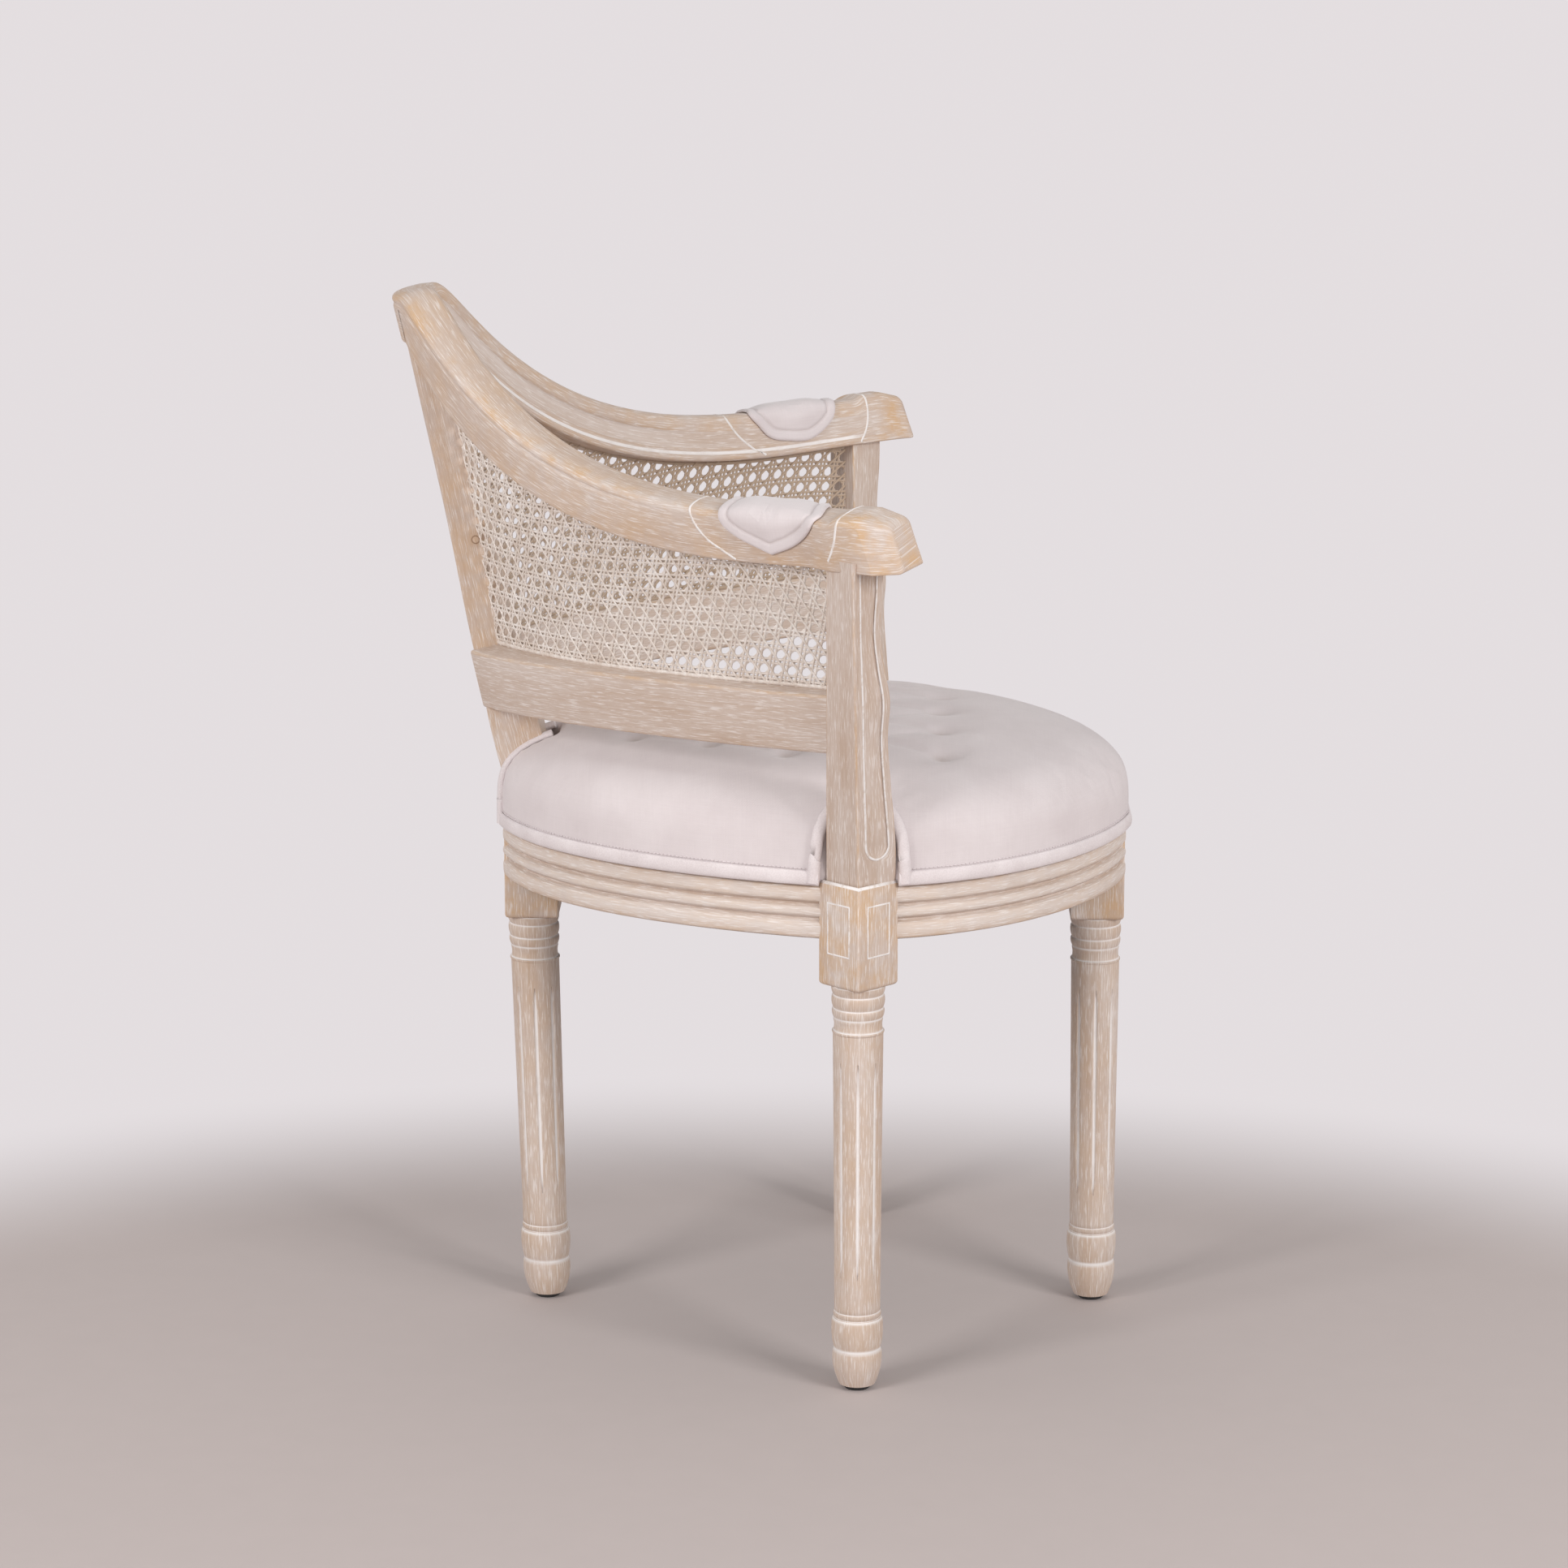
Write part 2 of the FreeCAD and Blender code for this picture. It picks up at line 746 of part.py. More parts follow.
def back_rail():
    e = back_rail_edge
    w = back_rail_thickness
    h = back_rail_height
    profile = [(-w + e, 0), (-e, 0), (0, e), (0, h - e), (-e, h), (-w + e, h), (-w, h - e), (-w, e)]
    sections = []
    for t in steps(-rail_run_in, 1.0 + rail_run_in, back_rail_section_count):
        across, up = leaning_axes(back_rail_curve, t, back_rail_lean, 0.0)
        origin = plan_point(back_rail_curve, t) + Vector(0, 0, back_rail_z(t))
        sections.append(placed(origin, across, up, profile))
    return long_solid(sections)


# Arm bow

def bow_top_z(t):
    fall = smooth_step(sweep_start, sweep_end, t + sweep_bias * t * (1.0 - t))
    lift = arm_end_lift * smooth_step(lift_start, 1.0, t)
    return crest_top_z + (arm_top_z - crest_top_z) * fall + lift


def bow_slope(t):
    small = 0.002
    rise = bow_top_z(t + small) - bow_top_z(t - small)
    run = (plan_point(bow_curve, t + small) - plan_point(bow_curve, t - small)).Length
    return rise / run


def bow_axes(t):
    lean = crest_lean + (arm_lean - crest_lean) * smooth_step(0.0, moulding_end, t)
    return leaning_axes(bow_curve, t, lean, bow_slope(max(t, 0.0)) if t > 0 else 0.0)


def bow_place(t):
    return plan_point(bow_curve, t) + Vector(0, 0, bow_top_z(t))


def bow_profile(t):
    # Bead and quirk on the outer top edge, cove and bead on the inner face; the arms run plain
    m = plain_share + (1.0 - plain_share) * (1.0 - smooth_step(moulding_fade, moulding_end, t))
    w = bow_width / 2.0
    h = bow_height
    e = bow_edge
    low = bow_lower_edge
    bead = bow_bead
    cove = -w + bow_cove_depth * m
    roll = -w - bow_inner_roll * m
    lip = -h + bow_inner_bead
    return [
        (-w, -h), (w - low, -h), (w, -h + low),
        (w, -bead - bow_quirk), (w - bow_quirk * m, -bead),
        (w, -bead * 0.65), (w - bead * 0.25, -bead * 0.12), (w - bead, bow_crown * 0.5),
        (0, bow_crown), (-w + e, 0), (-w, -e),
        (-w, -bow_cove_top), (cove, -bow_cove_top - bow_cove_depth),
        (cove, -bow_cove_bottom + bow_cove_depth), (-w, -bow_cove_bottom),
        (-w, lip), (roll, lip - bow_inner_bead * 0.3), (roll, lip - bow_inner_bead * 0.7),
    ]


def bow_bar(start, end):
    sections = []
    for t in steps(start, end, bow_section_count):
        across, up = bow_axes(t)
        sections.append(placed(bow_place(t), across, up, bow_profile(t)))
    return long_solid(sections)


def arm_rail():
    return bow_bar(0.0, arm_overrun).cut(arm_end_cutter())


def arm_end_cutter():
    # Everything past the slanted end cut: the arm's lower edge reaches further than its top
    across, up = bow_axes(1.0)
    along = across.cross(up)
    along = along if along.y < 0 else along * -1.0
    place = bow_place(1.0)
    reach = 2 * bow_height
    slant = arm_end_slant / bow_height
    high = place + up * reach
    low = place - up * reach
    corners = [high - along * (slant * reach), low + along * (slant * reach),
               low + along * (3 * reach), high + along * (3 * reach)]
    face = Part.Face(closed_wire(corners))
    face.translate(across * -reach)
    return face.extrude(across * (2 * reach))


# Cane

def cane_line(k):
    # Foot and head of the sheet at one share of its length, and the direction it faces
    across, up = leaning_axes(back_rail_curve, k, back_rail_lean, 0.0)
    foot = plan_point(back_rail_curve, k) + Vector(0, 0, back_rail_z(k))
    foot = foot - across * cane_setback + up * (back_rail_height - cane_tuck)
    t = cane_top_start + (cane_top_end - cane_top_start) * k
    head = bow_place(t) - bow_axes(t)[1] * (bow_height - cane_tuck)
    return foot, head, across.cross(head - foot).cross(head - foot).normalize()


def cane_openings():
    # Columns of square openings that rise from the back rail and stop short of the arm rail
    cutters = []
    half = cane_opening_side / 2.0
    for column in range(cane_opening_count):
        foot, head, face = cane_line((column + 1.0) / (cane_opening_count + 1))
        tall = (head - foot).Length
        rise = (head - foot) / tall
        along = rise.cross(face)
        height = cane_tuck + cane_margin + half
        while height + half + cane_margin + 2 * cane_tuck < tall:
            middle = foot + rise * height - face * cane_thickness
            corners = [middle + along * (a * half) + rise * (b * half)
                       for a, b in ((1, 1), (-1, 1), (-1, -1), (1, -1))]
            cutters.append(Part.Face(closed_wire(corners)).extrude(face * (2 * cane_thickness)))
            height += cane_opening_pitch
    return cutters


def cane_panel(frame):
    # Thin curved sheet from the back rail's top to the arm rail's underside, trimmed by its frame
    sections = []
    for k in steps(-rail_run_in, 1.0 + rail_run_in, cane_section_count):
        foot, head, face = cane_line(k)
        face = face * (cane_thickness / 2.0)
        sections.append([foot + face, head + face, head - face, foot - face])
    return largest_solid(long_solid(sections).cut(frame)).cut(cane_openings())


# Upholstery

def tuft_places():
    places = []
    for row, count in enumerate(tuft_counts):
        y = tuft_front_y + row * tuft_row_step
        for k in range(count):
            places.append(Vector((k - (count - 1) / 2.0) * tuft_spacing, y, 0))
    return places


def cushion_section(share, z):
    # One level of the dome: the seat's plan drawn in towards the middle
    wire = seat_outline(0.0, share)
    wire.translate(Vector(0, 0, z))
    return wire


def cushion_dome():
    # Drawn-in foot, bulging side and a full crown that follows a superellipse
    low = rail_top_z + soft_gap
    swell = 1.0 + cushion_bulge / side_leg_x
    middle = 1.0 + 0.7 * cushion_bulge / side_leg_x
    wires = [cushion_section(1.0, low), cushion_section(middle, (2 * low + cushion_side_z) / 3.0)]
    for turn in steps(0.0, cushion_crown_turn, cushion_level_count):
        reach = math.cos(math.radians(turn)) ** (2.0 / cushion_fullness)
        rise = math.sin(math.radians(turn)) ** (2.0 / cushion_fullness)
        z = cushion_side_z + (cushion_crown_z - cushion_side_z) * rise
        wires.append(cushion_section(swell * reach, z))
    return Part.makeLoft(wires, True, True)


def tuft_pit(dome, place):
    # Sewn tuft: a steep dimple inside a shallow one, set at the height of the dome there
    plumb = Part.LineSegment(place, place + Vector(0, 0, 2 * cushion_crown_z)).toShape()
    top = Vector(place.x, place.y, dome.common(plumb).BoundBox.ZMax)
    outline = [Vector(0, 0, -tuft_depth), Vector(tuft_core_radius, 0, -tuft_rim_depth),
               Vector(tuft_radius, 0, tuft_rim_depth / 2.0), Vector(0, 0, tuft_rim_depth)]
    pit = Part.Face(closed_wire(outline)).revolve(Vector(0, 0, 0), Vector(0, 0, 1), 360)
    pit.translate(top)
    return pit


def seat_cushion(posts):
    dome = cushion_dome()
    side = side_block_room(soft_gap)
    rear_y = rear_leg_y - block_side / 2.0 - soft_gap
    rear = centre_block_room(rear_y, rear_y + 3 * block_side, soft_gap)
    pits = [tuft_pit(dome, place) for place in tuft_places()]
    return largest_solid(dome.cut([side, mirror(side), rear] + posts + pits))


def seat_welt(curve):
    # Folded edge band along the foot of the cushion, one length between two legs
    w = welt_thickness
    h = welt_height
    low = cushion_bulge + soft_gap
    profile = [(low, 0), (low + w * 0.4, 0), (low + w, h * 0.25), (low + w * 0.6, h * 0.5),
               (low + w, h * 0.75), (low + w * 0.4, h), (low, h)]
    sections = []
    for t in steps(0.02, 0.98, rail_section_count):
        origin = plan_point(curve, t) + Vector(0, 0, rail_top_z + soft_gap)
        sections.append(placed(origin, plan_outward(curve, t), Vector(0, 0, 1), profile))
    return long_solid(sections)


def pad_profile(share):
    # Saddle over the arm: a crown on top and two skirts, deepest in the middle of the pad
    swell = max(0.0, math.sin(math.pi * share)) ** pad_fullness
    w = bow_width / 2.0 + soft_gap
    edge = bow_edge * 0.7
    top = bow_crown + soft_gap
    s = pad_edge + (pad_skirt - pad_edge) * swell
    c = pad_edge + (pad_crown - pad_edge) * swell
    outer = -(pad_end_drop + (pad_outer_drop - pad_end_drop) * (1.0 - abs(2.0 * share - 1.0)))
    inner = -(pad_end_drop + (pad_inner_drop - pad_end_drop) * swell)
    return [
        (w, outer), (w + s, outer), (w + s, -edge), (w - edge + s * 0.8, top + s * 0.4),
        (w * 0.75, top + c * 0.72), (w * 0.4, top + c * 0.94), (0, top + c),
        (-w * 0.4, top + c * 0.94), (-w * 0.75, top + c * 0.72),
        (-w + edge - s * 0.8, top + s * 0.4), (-w - s, -edge), (-w - s, inner), (-w, inner),
        (-w, -edge), (-w + edge, top), (w - edge, top), (w, -edge),
    ]


def arm_pad():
    sections = []
    for share in steps(0.0, 1.0, pad_section_count):
        t = pad_start + (pad_end - pad_start) * share
        across, up = bow_axes(t)
        sections.append(placed(bow_place(t), across, up, pad_profile(share)))
    return long_solid(sections)


# Dowel joints

def seat_dowel_lines():
    # Two dowels, one over the other, through each end of each left seat rail
    lines = []
    middle_z = (rail_bottom_z + rail_top_z) / 2.0
    for curve in (rear_rail_curve, front_rail_curve):
        for t in (0.0, 1.0):
            place = plan_point(curve, t) - plan_outward(curve, t) * (rail_thickness / 2.0)
            for z in (middle_z - dowel_z_offset, middle_z + dowel_z_offset):
                lines.append((place + Vector(0, 0, z), plan_direction(curve, t)))
    return lines


def back_dowel_lines():
    lines = []
    for t in (0.0, 1.0):
        across, up = leaning_axes(back_rail_curve, t, back_rail_lean, 0.0)
        foot = plan_point(back_rail_curve, t) + Vector(0, 0, back_rail_z(t))
        foot = foot - across * (back_rail_thickness / 2.0)
        for share in (0.3, 0.7):
            lines.append((foot + up * (back_rail_height * share), plan_direction(back_rail_curve, t)))
    return lines


def crest_dowel_lines():
    # Two dowels side by side across the joint of the two arm rails
    across, up = bow_axes(0.0)
    middle = bow_place(0.0) - up * crest_dowel_drop
    return [(middle + across * side, Vector(1, 0, 0)) for side in (-crest_dowel_offset, crest_dowel_offset)]


def post_dowel_lines():
    # Foot and head of the left arm post
    foot = arm_post_middle(side_block_top_z)
    head = arm_post_middle(arm_top_z - bow_height)
    return [(foot, Vector(0, 0, 1)), (head, arm_post_axis())]


def rear_post_dowel_lines():
    lines = []
    for x in (-rear_dowel_offset, rear_dowel_offset):
        foot = Vector(x, rear_leg_y, rear_block_top_z)
        lines.append((foot, Vector(0, 0, 1)))
        head = rear_post_middle(crest_top_z - bow_height - post_dowel_setback) + Vector(x, 0, 0)
        lines.append((head, rear_post_axis()))
    return lines


def dowels(lines, diameter, length):
    return [dowel(place, direction, diameter, length) for place, direction in lines]


def holes(lines, diameter, length):
    return [dowel_hole(place, direction, diameter, length) for place, direction in lines]


def both_sides(shapes):
    return shapes + [mirror(shape) for shape in shapes]


def build():
    parts = {}
    small = (dowel_diameter, dowel_length)
    large = (post_dowel_diameter, post_dowel_length)
    seat_holes = holes(seat_dowel_lines(), *small)
    back_holes = holes(back_dowel_lines(), *small)
    crest_holes = holes(crest_dowel_lines(), *small)
    post_holes = holes(post_dowel_lines(), *large)
    rear_post_holes = holes(rear_post_dowel_lines(), *small)

    plain_leg = side_leg()
    plain_rear_leg = rear_leg()
    plain_front_leg = front_leg()
    plain_rear_rail = rear_seat_rail()
    plain_front_rail = front_seat_rail()
    rails = both_sides([plain_rear_rail, plain_front_rail])
    legs = [plain_leg, mirror(plain_leg), plain_rear_leg, plain_front_leg]

    screw_lines = block_screw_lines()
    screw_holes = [hole for line in screw_lines for hole in block_screw_hole(line)]
    deck_holes = [hole for place in deck_screw_places() for hole in deck_screw_hole(place)]
    for name, (middle, inward) in corner_block_frames().items():
        parts[name] = corner_block(middle, inward, rails, legs).cut(screw_holes + deck_holes)

    left_leg = plain_leg.cut(seat_holes + post_holes)
    parts["left_leg"] = left_leg
    parts["right_leg"] = mirror(left_leg)
    parts["rear_leg"] = plain_rear_leg.cut(both_sides(seat_holes) + rear_post_holes)
    parts["front_leg"] = plain_front_leg.cut(both_sides(seat_holes))

    rear_rail = plain_rear_rail.cut(seat_holes + screw_holes)
    front_rail = plain_front_rail.cut(seat_holes + screw_holes)
    parts["rear_left_seat_rail"] = rear_rail
    parts["rear_right_seat_rail"] = mirror(rear_rail)
    parts["front_left_seat_rail"] = front_rail
    parts["front_right_seat_rail"] = mirror(front_rail)

    back_post = rear_post()
    bow = arm_rail()
    post = largest_solid(arm_post(0.0).cut(bow)).cut(arm_post_channel())
    half = rear_post_width / 2.0
    post_strip = box(-half, half, 0, 2 * crest_y, 0, crest_top_z)
    lower = largest_solid(back_rail().cut([arm_post(0.0), post_strip]))
    cane = cane_panel([bow, lower, post, back_post])

    arm = bow.cut(crest_holes + post_holes + rear_post_holes)
    parts["left_arm_rail"] = arm
    parts["right_arm_rail"] = mirror(arm)
    upright = post.cut(post_holes + back_holes)
    parts["left_arm_post"] = upright
    parts["right_arm_post"] = mirror(upright)
    parts["rear_post"] = back_post.cut(rear_post_holes + both_sides(back_holes))
    lower = lower.cut(back_holes)
    parts["left_back_rail"] = lower
    parts["right_back_rail"] = mirror(lower)
    parts["left_cane_panel"] = cane
    parts["right_cane_panel"] = mirror(cane)

    parts["seat_deck"] = seat_deck()
    parts["dust_cover"] = dust_cover()
    post_room = arm_post(soft_gap)
    parts["seat_cushion"] = seat_cushion([post_room, mirror(post_room)])
    rear_welt = largest_solid(seat_welt(rear_rail_curve).cut(side_block_room(soft_gap)))
    front_welt = largest_solid(seat_welt(front_rail_curve).cut(side_block_room(soft_gap)))
    parts["rear_left_welt"] = rear_welt
    parts["rear_right_welt"] = mirror(rear_welt)
    parts["front_left_welt"] = front_welt
    parts["front_right_welt"] = mirror(front_welt)

    pad = arm_pad()
    parts["left_arm_pad"] = pad
    parts["right_arm_pad"] = mirror(pad)

    toes = {
        "left_glide": Vector(side_leg_x, side_leg_y, 0),
        "right_glide": Vector(-side_leg_x, side_leg_y, 0),
        "rear_glide": Vector(0, rear_toe_y(), 0),
        "front_glide": Vector(0, front_leg_y, 0),
    }
    for name, place in toes.items():
        foot = glide()
        foot.translate(place)
        parts[name] = foot

    parts["seat_rail_dowels"] = Part.makeCompound(both_sides(dowels(seat_dowel_lines(), *small)))
    parts["back_rail_dowels"] = Part.makeCompound(both_sides(dowels(back_dowel_lines(), *small)))
    parts["arm_post_dowels"] = Part.makeCompound(both_sides(dowels(post_dowel_lines(), *large)))
    parts["rear_post_dowels"] = Part.makeCompound(dowels(rear_post_dowel_lines(), *small))
    parts["crest_dowels"] = Part.makeCompound(dowels(crest_dowel_lines(), *small))
    parts["corner_block_screws"] = Part.makeCompound([block_screw(line) for line in screw_lines])
    parts["deck_screws"] = Part.makeCompound([deck_screw(place) for place in deck_screw_places()])
    return parts


def centred(parts):
    # Move the chair so that its box stands centred over the origin, with its glides on the floor
    bounds = [shape.BoundBox for shape in parts.values()]
    middle_y = (min(b.YMin for b in bounds) + max(b.YMax for b in bounds)) / 2.0
    return {name: shape.translated(Vector(0, -middle_y, 0)) for name, shape in parts.items()}


os.makedirs("parts", exist_ok=True)
for node, shape in centred(build()).items():
    solids = shape.Solids
    state = "valid" if shape.isValid() else "NOT VALID"
    print(node, len(solids), "solid(s)", round(shape.Volume), "mm3", state)
    shape = solids[0] if len(solids) == 1 else Part.makeCompound(solids)
    shape.exportStep("parts/" + node + ".step")
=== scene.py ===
import bpy
import bmesh
import math
import numpy as np
from mathutils import Matrix, Vector


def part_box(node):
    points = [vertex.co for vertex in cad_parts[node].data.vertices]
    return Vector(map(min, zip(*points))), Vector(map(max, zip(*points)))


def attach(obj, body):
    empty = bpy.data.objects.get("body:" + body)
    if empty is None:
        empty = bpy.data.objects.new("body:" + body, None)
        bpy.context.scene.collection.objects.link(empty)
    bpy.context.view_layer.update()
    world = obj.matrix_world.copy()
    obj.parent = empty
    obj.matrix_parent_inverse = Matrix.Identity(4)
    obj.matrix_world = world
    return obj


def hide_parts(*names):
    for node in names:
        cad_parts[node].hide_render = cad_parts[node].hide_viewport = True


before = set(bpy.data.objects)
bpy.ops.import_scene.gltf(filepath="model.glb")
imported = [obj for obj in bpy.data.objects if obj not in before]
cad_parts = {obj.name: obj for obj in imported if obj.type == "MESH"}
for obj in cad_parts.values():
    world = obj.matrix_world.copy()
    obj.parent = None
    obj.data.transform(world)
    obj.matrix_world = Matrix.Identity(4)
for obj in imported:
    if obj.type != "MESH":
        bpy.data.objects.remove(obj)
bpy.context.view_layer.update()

# Plan of the chair in metres, measured from the seat's centre; front towards -Y, left towards +X
plan = {
    "legX": 0.224, "legY": -0.034, "rearLegY": 0.2275, "frontLegY": -0.225, "block": 0.043,
    "railInset": 0.001,
    "rearRail": ((-14.5, 0.112), (-74.5, 0.108)),
    "frontRail": ((-104.0, 0.088), (-168.0, 0.098)),
    "backRail": ((-26.0, 0.080), (-60.0, 0.110)),
    "backRailEnds": ((0.0215, 0.262), (0.250, -0.010)),
    "bow": ((0.0, 0.070), (-54.2, 0.266)),
    "bowEnds": ((0.0, 0.3175), (0.326, -0.0605)),
}
legLow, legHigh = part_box("left_leg")
shiftY = (legLow.y + legHigh.y) / 2 - plan["legY"]  # seat centre in the CAD frame
blockHalf = plan["block"] / 2
halfDiagonal = plan["block"] / math.sqrt(2)


def polar(angle, reach):
    turn = math.radians(angle)
    return Vector((math.cos(turn) * reach, math.sin(turn) * reach, 0))


def planCurve(start, end, handles):
    (startAngle, startReach), (endAngle, endReach) = handles
    a = Vector((*start, 0))
    d = Vector((*end, 0))
    return a, a + polar(startAngle, startReach), d - polar(endAngle, endReach), d


def planPoint(curve, t):
    a, b, c, d = curve
    s = 1 - t
    return a * s ** 3 + b * (3 * s * s * t) + c * (3 * s * t * t) + d * t ** 3


def planDirection(curve, t):
    a, b, c, d = curve
    s = 1 - t
    return ((b - a) * (3 * s * s) + (c - b) * (6 * s * t) + (d - c) * (3 * t * t)).normalized()


def planOutward(curve, t):
    run = planDirection(curve, t)
    return Vector((-run.y, run.x, 0))


def smoothStep(low, high, value):
    share = min(1, max(0, (value - low) / (high - low)))
    return share * share * (3 - 2 * share)


def bell(value, width):
    return math.exp(-(value / width) ** 2)


def spread(low, high, count):
    return [low + (high - low) * k / (count - 1) for k in range(count)]


def runLengths(points):
    runs = [0.0]
    for a, b in zip(points, points[1:]):
        runs.append(runs[-1] + (b - a).length)
    return runs


def leaningAxes(curve, t, lean, slope):
    turn = math.radians(lean)
    run = planDirection(curve, t)
    along = Vector((run.x, run.y, slope)).normalized()
    up = planOutward(curve, t) * math.sin(turn) + Vector((0, 0, math.cos(turn)))
    up = (up - along * up.dot(along)).normalized()
    return up.cross(along).normalized(), up


rearRailCurve = planCurve((blockHalf, plan["rearLegY"] + blockHalf - plan["railInset"]),
                          (plan["legX"], plan["legY"] + halfDiagonal), plan["rearRail"])
frontRailCurve = planCurve((plan["legX"], plan["legY"] - halfDiagonal),
                           (blockHalf, plan["frontLegY"] - blockHalf + plan["railInset"]), plan["frontRail"])
backRailCurve = planCurve(*plan["backRailEnds"], plan["backRail"])
bowCurve = planCurve(*plan["bowEnds"], plan["bow"])


# Shader helpers

def newGroup(name, inputs, outputs, treeKind="ShaderNodeTree"):
    tree = bpy.data.node_groups.new(name, treeKind)
    for label, kind, value in inputs:
        socket = tree.interface.new_socket(label, in_out="INPUT", socket_type=kind)
        if value is not None:
            socket.default_value = value
    for label, kind in outputs:
        tree.interface.new_socket(label, in_out="OUTPUT", socket_type=kind)
    return tree, tree.nodes.new("NodeGroupInput").outputs, tree.nodes.new("NodeGroupOutput").inputs


def feed(tree, socket, value):
    if isinstance(value, bpy.types.NodeSocket):
        tree.links.new(value, socket)
    else:
        socket.default_value = value


def mathNode(tree, operation, a, b=0.0, clamp=False):
    node = tree.nodes.new("ShaderNodeMath")
    node.operation = operation
    node.use_clamp = clamp
    feed(tree, node.inputs[0], a)
    feed(tree, node.inputs[1], b)
    return node.outputs[0]


def times(tree, a, b, clamp=False):
    return mathNode(tree, "MULTIPLY", a, b, clamp)


def plus(tree, a, b, clamp=False):
    return mathNode(tree, "ADD", a, b, clamp)


def weighed(tree, a, b, share):
    return plus(tree, times(tree, a, share), times(tree, b, 1 - share))


def stretched(tree, vector, scale):
    node = tree.nodes.new("ShaderNodeMapping")
    tree.links.new(vector, node.inputs["Vector"])
    node.inputs["Scale"].default_value = scale
    return node.outputs["Vector"]


def noiseNode(tree, vector, scale, detail, rough=0.55, distort=0.0):
    node = tree.nodes.new("ShaderNodeTexNoise")
    tree.links.new(vector, node.inputs["Vector"])
    node.inputs["Scale"].default_value = scale
    node.inputs["Detail"].default_value = detail
    node.inputs["Roughness"].default_value = rough
    node.inputs["Distortion"].default_value = distort
    return node.outputs["Fac"]


def ranged(tree, value, low, high, outLow=0.0, outHigh=1.0):
    node = tree.nodes.new("ShaderNodeMapRange")
    feed(tree, node.inputs["Value"], value)
    for label, number in (("From Min", low), ("From Max", high), ("To Min", outLow), ("To Max", outHigh)):
        node.inputs[label].default_value = number
    return node.outputs["Result"]


def mixColour(tree, factor, a, b):
    node = tree.nodes.new("ShaderNodeMix")
    node.data_type = "RGBA"
    feed(tree, node.inputs[0], factor)
    feed(tree, node.inputs[6], a if isinstance(a, bpy.types.NodeSocket) else (*a, 1))
    feed(tree, node.inputs[7], b if isinstance(b, bpy.types.NodeSocket) else (*b, 1))
    return node.outputs[2]


def attributeValue(tree, name):
    node = tree.nodes.new("ShaderNodeAttribute")
    node.attribute_name = name
    return node.outputs["Fac"]


def objectCoords(tree):
    return tree.nodes.new("ShaderNodeTexCoord").outputs["Object"]


def distanceFrom(tree, place):
    node = tree.nodes.new("ShaderNodeVectorMath")
    node.operation = "DISTANCE"
    tree.links.new(objectCoords(tree), node.inputs[0])
    node.inputs[1].default_value = place
    return node.outputs["Value"]


def uvCoords(tree, name):
    node = tree.nodes.new("ShaderNodeUVMap")
    node.uv_map = name
    return node.outputs["UV"]


def surfaced(tree, shader, colour, height, strength, distance):
    tree.links.new(colour, shader.inputs["Base Color"])
    node = tree.nodes.new("ShaderNodeBump")
    node.inputs["Strength"].default_value = strength
    node.inputs["Distance"].default_value = distance
    tree.links.new(height, node.inputs["Height"])
    tree.links.new(node.outputs["Normal"], shader.inputs["Normal"])


def placedGroup(tree, group, values):
    node = tree.nodes.new("ShaderNodeGroup")
    node.node_tree = group
    for label, value in values.items():
        feed(tree, node.inputs[label], value)
    return node.outputs


def newMaterial(name, roughness):
    material = bpy.data.materials.new(name)
    material.use_nodes = True
    shader = material.node_tree.nodes["Principled BSDF"]
    shader.inputs["Roughness"].default_value = roughness
    return material, material.node_tree, shader


def grainGroup():
    # Soft streaks, cloudy wash and short limed flecks that run along U, both in metres
    tree, given, gives = newGroup("limedGrain", [
        ("Vector", "NodeSocketVector", None), ("Streaks", "NodeSocketFloat", 1.0),
        ("Clouds", "NodeSocketFloat", 1.0), ("Flecks", "NodeSocketFloat", 1.0)],
        [("Lime", "NodeSocketFloat"), ("Fleck", "NodeSocketFloat"), ("Height", "NodeSocketFloat")])
    streak = noiseNode(tree, stretched(tree, given["Vector"], (13, 400, 1)), 1.0, 5, 0.6, 0.4)
    cloud = noiseNode(tree, stretched(tree, given["Vector"], (6, 32, 1)), 1.0, 4)
    pore = noiseNode(tree, stretched(tree, given["Vector"], (70, 950, 1)), 1.0, 3, 0.55)
    lime = times(tree, mathNode(tree, "SUBTRACT", streak, 0.5), given["Streaks"])
    mist = times(tree, mathNode(tree, "SUBTRACT", cloud, 0.5), given["Clouds"])
    tree.links.new(plus(tree, plus(tree, lime, mist), 0.5, clamp=True), gives["Lime"])
    dense = plus(tree, pore, times(tree, mist, 0.10))
    fleck = times(tree, ranged(tree, dense, 0.52, 0.63), given["Flecks"])
    tree.links.new(fleck, gives["Fleck"])
    tree.links.new(mathNode(tree, "SUBTRACT", streak, fleck), gives["Height"])
    return tree


